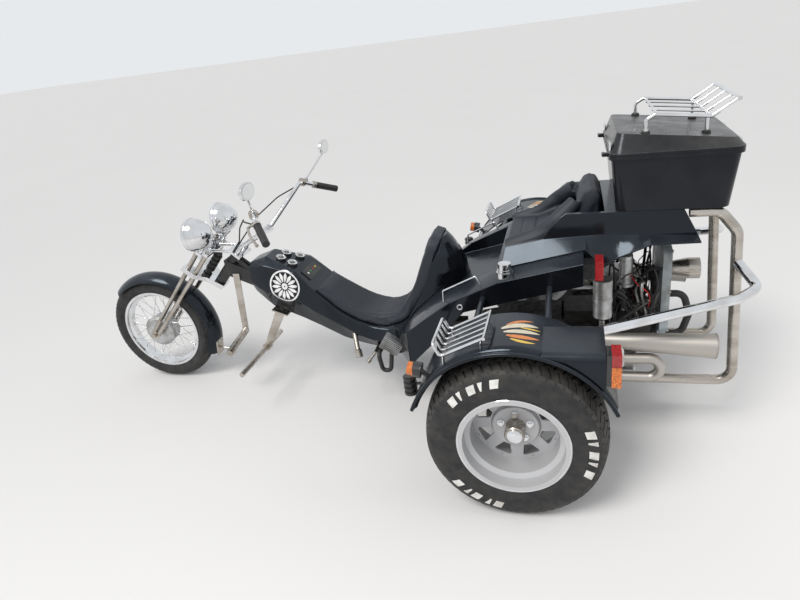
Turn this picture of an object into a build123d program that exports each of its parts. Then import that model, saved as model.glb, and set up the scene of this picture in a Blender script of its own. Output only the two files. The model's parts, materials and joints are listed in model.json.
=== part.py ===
"""Three-wheeled motorcycle with a rear boxer engine, a long low moulded body,
a raked girder fork and a top case.

Millimetres.  Every table is written in the vehicle's own layout, with the
rear axle at x = 0, +X forwards, +Y to the left and the ground at z = 0.
The finished pieces are shifted along X so that the origin is the middle of
the footprint.
"""
import math
import os

from build123d import *

# General layout
WHEELBASE = 2112.0
REAR_HALF_TRACK = 782.0
FIT_GAP = 0.3            # gap between pieces that rest on one another
RUN_GAP = 0.05           # radial clearance of a shaft that turns in its bore

# Wheels
REAR_TYRE_R = 336.0
REAR_TYRE_HALF_W = 128.0
REAR_LIP_R = 206.5       # outside of the rim's lip, a 15 inch rim
REAR_RIM_HALF_W = 122.0
REAR_SEAT_R = 190.5
REAR_WELL_R = 170.0
REAR_RIM_WALL = 6.0
REAR_DISC_Y = 765.0      # outer face of the wheel disc
REAR_DISC_T = 8.0
REAR_DISC_WINDOWS = 8
REAR_WINDOW_R = (98.0, 146.0)
REAR_HUB_R = 38.0
REAR_HUB_END_Y = 840.0
REAR_BOSS_R = 86.0
DRUM_R = 118.0
DRUM_INNER_Y = 648.0
STUB_R = 20.0
STUB_END_Y = 812.0
AXLE_TUBE_R = 36.0
AXLE_FLANGE_R = 72.0
AXLE_FLANGE_Y = (612.0, 640.0)

FRONT_TYRE_R = 317.0
FRONT_TYRE_HALF_W = 46.0
FRONT_LIP_R = 240.0      # outside of the rim's lip, an 18 inch rim
FRONT_RIM_HALF_W = 35.0
FRONT_SEAT_R = 232.0
FRONT_WELL_R = 216.0
FRONT_RIM_WALL = 6.0
SPOKES_PER_SIDE = 18
SPOKE_R = 1.9
SPOKE_SWEEP = 24.0       # degrees between a spoke's hub end and its rim end
FRONT_DRUM_R = 88.0
FRONT_DRUM_Y = (-26.0, 33.0)
HUB_CORE_R = 27.0
HUB_FLANGE_R = 60.0
HUB_FLANGE_Y = (-44.0, -39.0)
FRONT_AXLE_R = 8.5
FRONT_AXLE_HALF = 112.0
BRAKE_PLATE_R = 92.0
BRAKE_PLATE_Y = (38.5, 56.0)

# Steering: u runs up the steering axis from the foot of the axle's
# perpendicular, n forwards from the axis
RAKE = 43.0
AXLE_OFFSET = 140.0
HEAD_U = (545.0, 760.0)
HEAD_R = 29.0
STEM_R = 18.0
LEG_Y = 87.0
LEG_R = 12.0
LEG_SPREAD_LOW = 15.0
LEG_SPREAD_HIGH = 25.0
LEG_U = (26.0, 697.0)
LOWER_YOKE_U = (513.0, 541.0)
UPPER_YOKE_U = (676.0, 694.0)
TOP_PLATE_U = (765.0, 779.0)
FORK_SPRING_R = 24.0
HEADLIGHT = (WHEELBASE - 500, 134.0, 927.0)
HEADLIGHT_R = 83.0
HEADLIGHT_BACK = 78.0
HEADLIGHT_FRONT = 40.0
BAR_R = 12.5
BAR_CLAMP = (WHEELBASE - 800, 60.0, 884.0)
BAR_SHOULDER = (WHEELBASE - 922, 272.0, 1064.0)
GRIP_START = (WHEELBASE - 962, 332.0, 1031.0)
GRIP_END = (WHEELBASE - 1049, 438.0, 973.0)
GRIP_R = 17.5
MIRROR = (WHEELBASE - 1014, 440.0, 1208.0)
MIRROR_SIZE = (112.0, 74.0)
MIRROR_T = 20.0
FRONT_FENDER_CENTRE = (WHEELBASE - 22, FRONT_TYRE_R + 5)
FRONT_FENDER_R = FRONT_TYRE_R + 31
FRONT_FENDER_HALF_W = 66.0
FRONT_FENDER_DROP = 42.0
FRONT_FENDER_WALL = 4.0
FRONT_FENDER_ANGLES = (47.0, 208.0)
FENDER_PIN_U = 345.0     # where the fender is pinned to the legs

# Moulded body
PANEL = 8.0              # wall of the moulded panels
BACKBONE_W = 64.0
BACKBONE_H = 78.0
BACKBONE = ((WHEELBASE - 537, 700.0), (760.0, 345.0), (300.0, 345.0))
RAIL_Y = 212.0
RAIL_Z = 206.0
RAIL_R = 21.0
RAIL_X = (-300.0, 480.0)
BODY_REAR_X = 640.0
TUB_HALF_W = 400.0
DECK_HALF_W = 300.0
SHOULDER_RISE = 16.0
TUB_END_X = -250.0
HOOD_HALF_W = 245.0
HOOD_WING_HALF_W = 300.0  # the hood's lower sides flare out to this
HOOD_TOP_Z = 986.0
SEAT_BAY_HALF_W = 225.0
BAY_REAR_X = -330.0
WELL_X = (360.0, 105.0)   # foot well behind the driver's shell
WELL_FLOOR_Z = (620.0, 679.0)
WELL_HALF_W = 280.0
SEAT_HALF_W = 126.0
SEAT_PAD_T = 52.0
SEAT_TOP_CORNER_R = 70.0
SEAT_NOSE_T = 12.0        # the pad's thickness where it meets the dash

# Rear fenders
FENDER_R = REAR_TYRE_R + 55
FENDER_WALL = 6.0
FENDER_Y = (600.0, 842.0)  # the crown's flat part
FENDER_EDGE_Y = 900.0
FENDER_GROOVE = 15.0       # how far the crown's outer edge drops before its flange
FENDER_BEAD_R = 7.0
FENDER_ANGLES = (21.0, 156.0)
FENDER_TAIL_X = -312.0
FENDER_TAIL_Z = (REAR_TYRE_R + 249, REAR_TYRE_R + 380)
FENDER_TAIL_Y = (664.0, 890.0)

# Top case
CASE_HALF_W = 264.0
CASE_X = (-340.0, -806.0)
CASE_FOOT_X = (-372.0, -775.0)
CASE_FOOT_HALF_W = 245.0
CASE_FLOOR_Z = HOOD_TOP_Z + FIT_GAP
CASE_RIM_Z = 1202.0
CASE_WALL = 5.0
CASE_LIP = 8.0            # how far the rim stands out
CASE_LIP_H = 13.0
LID_GAP = 0.5
LID_TOP_HALF_W = 220.0
LID_RIDGE_Z = (1284.0, 1238.0)
LID_RIDGE_X = (-370.0, -785.0)
HINGE = (-322.0, 1203.0)
HINGE_R = 6.0
HINGE_Y = 190.0

# Rear hoop and side bars
HOOP_Y = 212.0
HOOP_X = (-814.0, -858.0)  # top and bottom of the leaning uprights
HOOP_Z = RAIL_Z
HOOP_BEND_Z = 880.0
HOOP_R = 21.0
HOOP_TOP_Z = CASE_FLOOR_Z - HOOP_R - FIT_GAP
SIDE_BAR_R = 19.0

# Engine
CYLINDER_X = (-262.0, -402.0)
CYLINDER_Z = 372.0
CYLINDER_R = 46.0
FIN_R = 60.0
FIN_COUNT = 7
FIN_T = 4.0
CRANKCASE_X = (-540.0, -168.0)
CRANK_Z = 385.0
CRANKCASE_HALF_W = 112.0
CRANKCASE_Z = (262.0, 470.0)
FAN_X = (-600.0, -566.0)
FAN_HALF_W = 170.0
FAN_Z = (400.0, 794.0)
AIR_HORN_X = (-690.0, -735.0)
AIR_HORN_Z = 640.0
AIR_HORN_R = (30.0, 46.0)
AIR_HORN_WALL = 4.0
PIPE_R = 22.0             # exhaust tube
MEGAPHONE_R = (29.0, 50.0)
MEGAPHONE_BORE_R = 45.0
MEGAPHONE_X = (-290.0, -748.0)
MEGAPHONE_Z = (483.0, 462.0)
CYLINDER_Y = (112.3, 232.0)
HEAD_Y = (232.3, 322.0)
COVER_END_Y = 352.0
HEAD_FIN_HALF = 58.0


def rod(start, end, radius):
    """Round bar between two points."""
    line = Vector(*end) - Vector(*start)
    plane = Plane(origin=Vector(*start), z_dir=line)
    return extrude(plane * Circle(radius), line.length)


def pipe(points, radius, bend):
    """Round tube along straight runs that are joined by tangent arcs."""
    path = FilletPolyline(*points, radius=bend)
    plane = Plane(origin=path @ 0, z_dir=path % 0)
    return sweep(plane * Circle(radius), path)


def side_face(points, y):
    """Flat face of a side view's outline, standing at y."""
    return make_face(Polyline(*[(x, y, z) for x, z in points], close=True))


def side_prism(points, y0, y1):
    """Side-view outline, pushed from y0 to y1."""
    return extrude(side_face(points, y0), y1 - y0, dir=(0, 1, 0))


def block(x0, x1, y0, y1, z0, z1):
    """Box from its low and high faces."""
    centre = ((x0 + x1) / 2, (y0 + y1) / 2, (z0 + z1) / 2)
    return Pos(*centre) * Box(abs(x1 - x0), abs(y1 - y0), abs(z1 - z0))


def ring(profile, centre):
    """Profile of (radius, y) corners turned about a wheel's axle."""
    face = make_face(Polyline(*[(r, y, 0) for r, y in profile], close=True))
    turned = revolve(face, Axis((0, 0, 0), (0, 1, 0)), 360)
    return Pos(*centre) * turned


def both(shape):
    """A piece and its mirror image across the middle plane."""
    return [shape, mirror(shape, Plane.XZ)]


def steer(u, n, y=0.0):
    """Point u up the steering axis, n in front of it, y to the left."""
    s, c = math.sin(math.radians(RAKE)), math.cos(math.radians(RAKE))
    foot_x = WHEELBASE - AXLE_OFFSET * c
    foot_z = FRONT_TYRE_R - AXLE_OFFSET * s
    return (foot_x - u * s + n * c, y, foot_z + u * c + n * s)


def steer_plane(u):
    """Plane across the steering axis at u: x is n, y is the vehicle's y."""
    c, s = math.cos(math.radians(RAKE)), math.sin(math.radians(RAKE))
    return Plane(origin=steer(u, 0), x_dir=(c, 0, s), z_dir=(-s, 0, c))


def leg_point(u, side, which):
    """Centre of a fork leg at u; which is +1 for the front leg."""
    share = (u - LEG_U[0]) / (LEG_U[1] - LEG_U[0])
    spread = LEG_SPREAD_LOW + (LEG_SPREAD_HIGH - LEG_SPREAD_LOW) * share
    return steer(u, AXLE_OFFSET + which * spread, side * LEG_Y)


# Front wheel

def front_tyre():
    seat, lip = FRONT_SEAT_R + FIT_GAP, FRONT_LIP_R + 1
    bead = FRONT_RIM_HALF_W - 4 - FIT_GAP
    edges = [
        Line((seat, bead), (seat, -bead)),
        Line((seat, -bead), (lip, -bead)),
        ThreePointArc((lip, -bead), (274, -FRONT_TYRE_HALF_W), (300, -38)),
        ThreePointArc((300, -38), (FRONT_TYRE_R, 0), (300, 38)),
        ThreePointArc((300, 38), (274, FRONT_TYRE_HALF_W), (lip, bead)),
        Line((lip, bead), (seat, bead)),
    ]
    body = revolve(make_face(edges), Axis((0, 0, 0), (0, 1, 0)), 360)
    return Pos(WHEELBASE, 0, FRONT_TYRE_R) * body


def rim_profile(lip_r, seat_r, well_r, half_w, wall, well_half):
    """Corners (radius, y) of a drop-centre rim, tyre side then hub side."""
    outer = [(lip_r, -half_w), (lip_r, -half_w + 4), (seat_r, -half_w + 4),
             (seat_r - 2, -well_half - 10), (well_r, -well_half)]
    inner = [(well_r - wall, -well_half), (seat_r - 2 - wall, -well_half - 10),
             (seat_r - wall, -half_w)]
    flip = [(r, -y) for r, y in reversed(outer)]
    inner_flip = [(r, -y) for r, y in reversed(inner)]
    return outer + flip + inner_flip + inner


def front_rim():
    profile = rim_profile(FRONT_LIP_R, FRONT_SEAT_R, FRONT_WELL_R,
                          FRONT_RIM_HALF_W, FRONT_RIM_WALL, 12)
    return ring(profile, (WHEELBASE, 0, FRONT_TYRE_R))


def front_hub():
    bore = FRONT_AXLE_R + RUN_GAP
    d0, d1 = FRONT_DRUM_Y
    f0, f1 = HUB_FLANGE_Y
    profile = [(bore, f0 - 6), (HUB_CORE_R, f0 - 6), (HUB_CORE_R, f0), (HUB_FLANGE_R, f0),
               (HUB_FLANGE_R, f1), (HUB_CORE_R + 5, f1 + 4), (HUB_CORE_R + 5, d0 - 4),
               (FRONT_DRUM_R - 8, d0), (FRONT_DRUM_R, d0 + 6), (FRONT_DRUM_R, d1),
               (bore, d1)]
    return ring(profile, (WHEELBASE, 0, FRONT_TYRE_R))


def spoke_ends(side, index):
    """Hub end and rim end of one spoke, about the wheel's centre."""
    hub_r = (HUB_FLANGE_R if side < 0 else FRONT_DRUM_R) + SPOKE_R + FIT_GAP
    hub_y = sum(HUB_FLANGE_Y) / 2 if side < 0 else FRONT_DRUM_Y[1] - 10
    sweep_way = 1 if index % 2 else -1
    start = math.radians(index * 360 / SPOKES_PER_SIDE + (0 if side < 0 else 10))
    end = start + sweep_way * math.radians(SPOKE_SWEEP)
    rim_r = FRONT_WELL_R - FRONT_RIM_WALL - 1.3
    hub = (hub_r * math.cos(start), hub_y, hub_r * math.sin(start))
    rim = (rim_r * math.cos(end), 7.0 * side, rim_r * math.sin(end))
    return hub, rim


def front_spokes():
    spokes = []
    for side in (-1, 1):
        for index in range(SPOKES_PER_SIDE):
            hub, rim = spoke_ends(side, index)
            spokes.append(Pos(WHEELBASE, 0, FRONT_TYRE_R) * rod(hub, rim, SPOKE_R))
    return spokes


# Rear wheels

def rear_tyre(side):
    seat, lip = REAR_SEAT_R + FIT_GAP, REAR_LIP_R + 1
    bead = REAR_RIM_HALF_W - 4 - FIT_GAP
    wide, tread = REAR_TYRE_HALF_W, REAR_TYRE_HALF_W - 16
    edges = [
        Line((seat, bead), (seat, -bead)),
        Line((seat, -bead), (lip, -bead)),
        ThreePointArc((lip, -bead), (262, -wide), (318, -tread)),
        ThreePointArc((318, -tread), (REAR_TYRE_R, 0), (318, tread)),
        ThreePointArc((318, tread), (262, wide), (lip, bead)),
        Line((lip, bead), (seat, bead)),
    ]
    body = revolve(make_face(edges), Axis((0, 0, 0), (0, 1, 0)), 360)
    return Pos(0, side * REAR_HALF_TRACK, REAR_TYRE_R) * body


def rear_rim():
    """Left rim: barrel, dished disc with its ring of windows."""
    barrel = ring(rim_profile(REAR_LIP_R, REAR_SEAT_R, REAR_WELL_R, REAR_RIM_HALF_W,
                              REAR_RIM_WALL, 66), (0, REAR_HALF_TRACK, REAR_TYRE_R))
    well = REAR_WELL_R - REAR_RIM_WALL
    y1, y0 = REAR_DISC_Y, REAR_DISC_Y - REAR_DISC_T
    bore = REAR_HUB_R + FIT_GAP
    disc = ring([(bore, y0 + 14), (bore, y1 + 14), (REAR_BOSS_R, y1 + 14), (REAR_BOSS_R + 8, y1),
                 (well + 1, y1), (well + 1, y0), (REAR_BOSS_R + 4, y0), (REAR_BOSS_R - 4, y0 + 14)],
                (0, 0, REAR_TYRE_R))
    low, high = REAR_WINDOW_R
    half_low, half_high = 13, 34
    window = make_face(Polyline((low, 0, -half_low), (high - 6, 0, -half_high), (high, 0, -half_high + 8),
                                (high, 0, half_high - 8), (high - 6, 0, half_high), (low, 0, half_low),
                                close=True))
    cutter = extrude(window, 60, dir=(0, 1, 0))
    for index in range(REAR_DISC_WINDOWS):
        turn = Rot(0, 360 / REAR_DISC_WINDOWS * (index + 0.5), 0)
        disc -= Pos(0, y0 - 20, REAR_TYRE_R) * turn * cutter
    return barrel + disc


def rear_hub():
    """Left brake drum and hub with its end cap."""
    bore = STUB_R + RUN_GAP
    y0, y1 = DRUM_INNER_Y, REAR_DISC_Y - REAR_DISC_T + 14 - FIT_GAP
    profile = [(bore, y0), (DRUM_R - 10, y0), (DRUM_R, y0 + 8), (DRUM_R, y0 + 70),
               (REAR_BOSS_R - 8, y1), (REAR_HUB_R, y1), (REAR_HUB_R, REAR_HUB_END_Y - 4),
               (REAR_HUB_R - 4, REAR_HUB_END_Y), (0, REAR_HUB_END_Y), (0, STUB_END_Y + 6),
               (bore, STUB_END_Y + 6)]
    return ring(profile, (0, 0, REAR_TYRE_R))


# Frame and axle

def backbone_profile(extra):
    """Backbone's side view, thickened by extra on every side."""
    half = BACKBONE_H / 2 + extra
    top, low = [], []
    (xa, za), (xb, zb), (xc, zc) = BACKBONE
    slope = math.atan2(za - zb, xa - xb)
    rise = half / math.cos(slope)
    bend = half * math.tan(slope / 2)
    top = [(xa, za + rise), (xb - bend, zb + half), (xc - extra, zc + half)]
    low = [(xc - extra, zc - half), (xb + bend, zb - half), (xa, za - rise)]
    return top + low


def backbone(extra=0.0):
    half = BACKBONE_W / 2 + extra
    return side_prism(backbone_profile(extra), -half, half)


def main_frame():
    head = extrude(steer_plane(HEAD_U[0]) * Circle(HEAD_R), HEAD_U[1] - HEAD_U[0])
    bore = extrude(steer_plane(HEAD_U[0] - 1) * Circle(STEM_R + RUN_GAP), HEAD_U[1] - HEAD_U[0] + 2)
    spine = backbone() - extrude(steer_plane(HEAD_U[0] - 60) * Circle(HEAD_R - 3), 400)
    frame = spine + (head - bore)
    strut_top = steer(HEAD_U[1] - 40, 0)
    brace_run = 138.0
    strut_foot = BACKBONE[0][0] - brace_run
    slope = (BACKBONE[0][1] - BACKBONE[1][1]) / (BACKBONE[0][0] - BACKBONE[1][0])
    for side in (-1, 1):
        foot_z = BACKBONE[0][1] - brace_run * slope + BACKBONE_H / 2
        brace = rod((strut_top[0] - 8, side * 14, strut_top[2]), (strut_foot, side * 20, foot_z), 11)
        frame += brace - bore
        rail = rod((RAIL_X[0], side * RAIL_Y, RAIL_Z), (RAIL_X[1], side * RAIL_Y, RAIL_Z), RAIL_R)
        hanger = side_prism([(-40, RAIL_Z), (40, RAIL_Z), (52, REAR_TYRE_R - 30), (-52, REAR_TYRE_R - 30)],
                            side * RAIL_Y - 7, side * RAIL_Y + 7)
        frame += rail + hanger
    for x, z in ((RAIL_X[1] - 30, RAIL_Z), (150, RAIL_Z)):
        frame += rod((x, -RAIL_Y, z), (x, RAIL_Y, z), 17)
    for x in (RAIL_X[1] - 30, 330):
        frame += block(x - 17, x + 17, -22, 22, RAIL_Z, BACKBONE[1][1] - BACKBONE_H / 2 + 4)
    frame += rod((330, -RAIL_Y, RAIL_Z), (330, RAIL_Y, RAIL_Z), 17)
    saddle = rod((0, -RAIL_Y - 12, REAR_TYRE_R), (0, RAIL_Y + 12, REAR_TYRE_R), AXLE_TUBE_R + FIT_GAP)
    return frame - saddle


def rear_axle():
    rear = CRANKCASE_X[1] + FIT_GAP
    gearbox = side_prism([(rear, 262), (150, 282), (240, 300), (240, 385), (150, 402), (40, 440),
                          (rear, 440)], -96, 96)
    gearbox = chamfer(gearbox.edges().filter_by(Axis.Y), 10)
    axle = gearbox
    for side in (-1, 1):
        y0, y1 = AXLE_FLANGE_Y
        axle += rod((0, side * 60, REAR_TYRE_R), (0, side * y0, REAR_TYRE_R), AXLE_TUBE_R)
        axle += rod((0, side * y0, REAR_TYRE_R), (0, side * y1, REAR_TYRE_R), AXLE_FLANGE_R)
        axle += rod((0, side * y1, REAR_TYRE_R), (0, side * STUB_END_Y, REAR_TYRE_R), STUB_R)
    return axle


# Engine

def crankcase():
    x0, x1 = CRANKCASE_X
    z0, z1 = CRANKCASE_Z
    case = block(x0, x1, -CRANKCASE_HALF_W, CRANKCASE_HALF_W, z0, z1)
    case = chamfer(case.edges().filter_by(Axis.X), 28)
    sump = block(x0 + 60, x1 - 60, -70, 70, z0 - 26, z0 + 2)
    return case + sump


def cylinder_bank():
    """Left bank: two finned barrels, their head and its cover."""
    y0, y1 = CYLINDER_Y
    bank = None
    for x in CYLINDER_X:
        barrel = rod((x, y0, CYLINDER_Z), (x, y1, CYLINDER_Z), CYLINDER_R)
        pitch = (y1 - y0 - FIN_T) / FIN_COUNT
        for index in range(1, FIN_COUNT + 1):
            y = y0 + pitch * index
            barrel += rod((x, y, CYLINDER_Z), (x, y + FIN_T, CYLINDER_Z), FIN_R)
        bank = barrel if bank is None else bank + barrel
    return bank


def cylinder_head():
    y0, y1 = HEAD_Y
    x0, x1 = CYLINDER_X[1] - 62, CYLINDER_X[0] + 62
    head = block(x0, x1, y0, y0 + 34, CYLINDER_Z - 62, CYLINDER_Z + 62)
    for index in range(4):
        y = y0 + 34 + 10 + index * 13
        head += block(x0, x1, y, y + 5, CYLINDER_Z - HEAD_FIN_HALF, CYLINDER_Z + HEAD_FIN_HALF)
    head += block(x0 + 8, x1 - 8, y0 + 30, y1, CYLINDER_Z - 42, CYLINDER_Z + 42)
    cover = block(x0 + 4, x1 - 4, y1 - 0.5, COVER_END_Y, CYLINDER_Z - 50, CYLINDER_Z + 44)
    cover = chamfer(cover.faces().sort_by(Axis.Y)[-1].edges(), 12)
    return head + cover


def fan_housing():
    """Upright sheet-metal fan housing across the engine, with its lower apron."""
    x0, x1 = FAN_X
    z0, z1 = FAN_Z
    plane = Plane(origin=(x0, 0, (z0 + z1) / 2), x_dir=(0, 1, 0), z_dir=(1, 0, 0))
    plate = extrude(plane * RectangleRounded(2 * FAN_HALF_W, z1 - z0, 40), x1 - x0)
    apron = block(x0, x1, -CRANKCASE_HALF_W - 8, CRANKCASE_HALF_W + 8, CRANK_Z - 53, z0 + 2)
    neck = rod((x1 - 2, 0, CRANK_Z), (CRANKCASE_X[0] - FIT_GAP, 0, CRANK_Z), 30)
    return plate + apron + neck


def air_horn():
    """Bright inlet trumpet behind the fan housing: a cone with a round mouth."""
    x0, x1, x2, z = FAN_X[0] - FIT_GAP, AIR_HORN_X[0], AIR_HORN_X[1], AIR_HORN_Z
    low, high = AIR_HORN_R
    wall = AIR_HORN_WALL
    edges = Polyline((x0, 0), (x0, low), (x1, high), (x2, high), (x2, high - wall), (x1, high - wall),
                     (x0 - 18, low - wall), (x0 - 18, 0), close=True)
    return Pos(0, 0, z) * revolve(make_face(edges), Axis((0, 0, 0), (1, 0, 0)), 360)


def carburettor():
    """Carburettor and round air cleaner on the crankcase, with the two intake runners."""
    x = sum(CYLINDER_X) / 2 - 38
    base = block(x - 32, x + 32, -34, 34, CRANKCASE_Z[1] + FIT_GAP, CRANKCASE_Z[1] + 30)
    stack = rod((x, 0, CRANKCASE_Z[1] + 28), (x, 0, CRANKCASE_Z[1] + 90), 30)
    bowl = block(x - 38, x + 38, -40, 40, CRANKCASE_Z[1] + 70, CRANKCASE_Z[1] + 126)
    cleaner = rod((x, 0, CRANKCASE_Z[1] + 124), (x, 0, CRANKCASE_Z[1] + 180), 62)
    head_top = CYLINDER_Z + 62 + FIT_GAP
    level = head_top + 55
    runners = pipe([(x, -248, head_top), (x, -248, level), (x, 248, level), (x, 248, head_top)], 13, 22)
    return base + stack + bowl + cleaner + runners


def oil_canister():
    """Bright upright canister beside the carburettor, on its bracket."""
    x, y, z0, z1 = -424, 152, 640, 768
    can = rod((x, y, z0 + 2), (x, y, z1), 27)
    for level in (z0 + 34, z1 - 30):
        can += rod((x, y, level), (x, y, level + 12), 29)
    flange = rod((x, y, z0 - 6), (x, y, z0 + 4), 35)
    foot_y, top = 70, CRANKCASE_Z[1] + FIT_GAP
    arm = rod((x, y, z0), (x, foot_y, top + 24), 8)
    foot = rod((x, foot_y, top), (x, foot_y, top + 40), 12)
    return can + flange + arm + foot


def side_canister():
    """Grey round canister on the left of the engine bay, with its band and bracket."""
    x, y, z0, z1 = -326, 300, 560, 725
    can = rod((x, y, z0), (x, y, z1), 38)
    can += rod((x, y, z0 + 70), (x, y, z0 + 88), 40)
    head_top = CYLINDER_Z + 62 + FIT_GAP
    strap = rod((x, y, z0 + 6), (x, 262, z0 - 40), 10)
    leg = rod((x, 262, z0 - 30), (x, 262, head_top), 12)
    return can + strap + leg


def crank_pulley():
    """Belt pulley and its belt in front of the fan housing."""
    x0, x1, z_top = CRANKCASE_X[0] - 8, FAN_X[1] + FIT_GAP, CRANK_Z + 190
    lower = rod((x0, 0, CRANK_Z), (x1, 0, CRANK_Z), 58)
    lower -= rod((x0 + 2, 0, CRANK_Z), (x1 - 2, 0, CRANK_Z), 30 + FIT_GAP)
    upper = rod((x0, 0, z_top), (x1, 0, z_top), 58)
    plane = Plane(origin=(x0 - 3, 0, (CRANK_Z + z_top) / 2), x_dir=(0, 0, 1), z_dir=(-1, 0, 0))
    belt = extrude(plane * SlotCenterToCenter(z_top - CRANK_Z, 130), 11)
    belt -= extrude(plane * SlotCenterToCenter(z_top - CRANK_Z, 116 + 2 * FIT_GAP), 11)
    return [lower, upper, belt]


def exhaust():
    """Left exhaust: header with its return bend and the megaphone."""
    y, low, high = 382, 318, 408
    back = -547
    x0, x1 = MEGAPHONE_X
    z0, z1 = MEGAPHONE_Z
    start_z = CYLINDER_Z - HEAD_FIN_HALF - FIT_GAP
    header = pipe([(-262, 290, start_z), (-262, 290, start_z - 52), (-330, y, start_z - 52), (-360, y, low),
                   (back, y, low), (back, y, high), (-258, y, high - 6), (-250, y - 12, z0), (x0 - 4, y - 14, z0)],
                  PIPE_R, [30, 34, 40, 44, 44, 36, 34])
    start, end = (x0, y - 14, z0), (x1, y - 14, z1)
    line = Vector(*end) - Vector(*start)
    near = Plane(origin=start, z_dir=line) * Circle(MEGAPHONE_R[0])
    far = Plane(origin=end, z_dir=line) * Circle(MEGAPHONE_R[1])
    cone = loft([near, far])
    bore = extrude(Plane(origin=end, z_dir=line * -1) * Circle(MEGAPHONE_BORE_R), 60)
    return header + (cone - bore)


# Moulded body

# Corners of the seat's underside in side view, and the radius that rounds each one
SEAT_LINE = ((1040, 612), (925, 487), (815, 420), (700, 397), (575, 432), (476, 582), (372, 850))
SEAT_RADII = (400, 280, 200, 160, 500)


def seat_curve(lift, nose_lift):
    """Side-view curve over the seat line: lift above it, nose_lift at its front end."""
    normals = []
    for (xa, za), (xb, zb) in zip(SEAT_LINE, SEAT_LINE[1:]):
        size = math.hypot(xb - xa, zb - za)
        normals.append(((zb - za) / size, (xa - xb) / size))
    corners = []
    for index, (x, z) in enumerate(SEAT_LINE):
        before, after = normals[max(index - 1, 0)], normals[min(index, len(normals) - 1)]
        nx, nz = before[0] + after[0], before[1] + after[1]
        reach = (nose_lift if index == 0 else lift) / (1 + before[0] * after[0] + before[1] * after[1])
        corners.append((x + nx * reach, 0, z + nz * reach))
    return FilletPolyline(*corners, radius=[r - lift for r in SEAT_RADII])


def seat_slab(low, high, nose, half):
    """Slab of the seat's form between two lifts over the seat line."""
    under, over = seat_curve(low, low), seat_curve(high, nose)
    face = make_face([under, over, Line(under @ 0, over @ 0), Line(under @ 1, over @ 1)])
    return Pos(0, -half, 0) * extrude(face, 2 * half, dir=(0, 1, 0))


def seat_space():
    """Room the seat pad takes out of what carries it."""
    return seat_slab(0, SEAT_PAD_T + 60, SEAT_PAD_T, SEAT_HALF_W + 1)


# Half sections of the long body: x, then (y, z) of dash edge, bevel, side, floor edge
NOSE_SECTIONS = (
    (1405, (50, 738), (80, 722), (92, 640), (60, 578)),
    (1308, (55, 769), (108, 738), (128, 600), (80, 497)),
    (1138, (100, 707), (122, 700), (140, 560), (95, 432)),
    (1052, (127, 618), (134, 608), (145, 500), (100, 392)),
    (930, (127, 496), (135, 488), (150, 430), (106, 330)),
    (830, (127, 434), (137, 426), (156, 372), (112, 300)),
    (750, (128, 410), (141, 402), (162, 345), (116, 284)),
    (680, (128, 406), (145, 396), (170, 346), (122, 280)),
    (640, (128, 418), (150, 406), (176, 352), (130, 276)),
)


def nose_section(x, *half):
    left = [(x, y, z) for y, z in half]
    right = [(x, -y, z) for y, z in reversed(half)]
    return make_face(Polyline(*(left + right), close=True))


def nose_outer():
    """Outside of the long body as one solid."""
    return loft([nose_section(*row) for row in NOSE_SECTIONS], ruled=True)


def body_nose():
    """Long body from its nose to the seat shell, in flat moulded facets."""
    return nose_outer() - backbone(FIT_GAP) - seat_space()


# Top and bottom lines of the tub's outer side
TUB_TOP = ((BODY_REAR_X - FIT_GAP, 416), (600, 430), (560, 456), (500, 520), (419, 581), (297, 666), (89, 757),
           (TUB_END_X, 833))
TUB_LOW = ((TUB_END_X, 738), (68, 664), (236, 622), (400, 450), (500, 350), (600, 292),
           (BODY_REAR_X - FIT_GAP, 278))
SHOULDER_START_X = 600.0   # behind this the middle of the deck rises over its edges


def tub_outline(rise):
    """Side view of the tub where its deck stands rise above the outer edge."""
    top = [(x, z + rise * min(1.0, max(0.0, SHOULDER_START_X - x) / 200)) for x, z in TUB_TOP]
    return top + list(TUB_LOW)


def plan_prism(points, z0, z1):
    face = make_face(Polyline(*[(x, y, z0) for x, y in points], close=True))
    return extrude(face, z1 - z0, dir=(0, 0, 1))


def tub_outer():
    """Outside of the rear tub as one solid."""
    middle = side_prism(tub_outline(SHOULDER_RISE), -DECK_HALF_W, DECK_HALF_W)
    shoulders = []
    for side in (-1, 1):
        inner = side_face(tub_outline(SHOULDER_RISE), side * DECK_HALF_W)
        outer = side_face(tub_outline(0), side * TUB_HALF_W)
        shoulders.append(loft([inner, outer], ruled=True))
    tub = middle + shoulders[0] + shoulders[1]
    plan = [(BODY_REAR_X, 176), (600, 196), (500, TUB_HALF_W + 1), (TUB_END_X - 50, TUB_HALF_W + 1)]
    outline = plan + [(x, -y) for x, y in reversed(plan)]
    return tub & plan_prism(outline, 200, 1100)


def foot_well(extra=0.0):
    """Room of the passenger's foot well, grown by extra on every closed side."""
    front, rear = WELL_X
    low, high = WELL_FLOOR_Z
    half = WELL_HALF_W + extra
    return side_prism([(front + extra, low - extra), (front + extra, HOOD_TOP_Z), (rear - extra, HOOD_TOP_Z),
                       (rear - extra, high - extra)], -half, half)


def body_tub():
    """Rear tub: sloped shoulders, foot well behind the driver, open beneath."""
    tub = tub_outer()
    half, front = TUB_HALF_W - PANEL, 430
    under = [(x, z - PANEL) for x, z in TUB_TOP[4:]]
    pocket = side_prism(under + [(TUB_END_X - 1, 200), (TUB_TOP[4][0], 200)], -half, half)
    pocket = pocket & block(TUB_END_X + PANEL, front, -half, half, 200, 1000)
    tub = tub - (pocket - foot_well(PANEL)) - foot_well()
    return tub - backbone(FIT_GAP) - seat_space()


def deck_z(x):
    """Height of the tub's raised deck at x."""
    (xa, za), (xb, zb) = TUB_TOP[-2], TUB_TOP[-1]
    return za + (zb - za) * (x - xa) / (xb - xa) + SHOULDER_RISE


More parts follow.
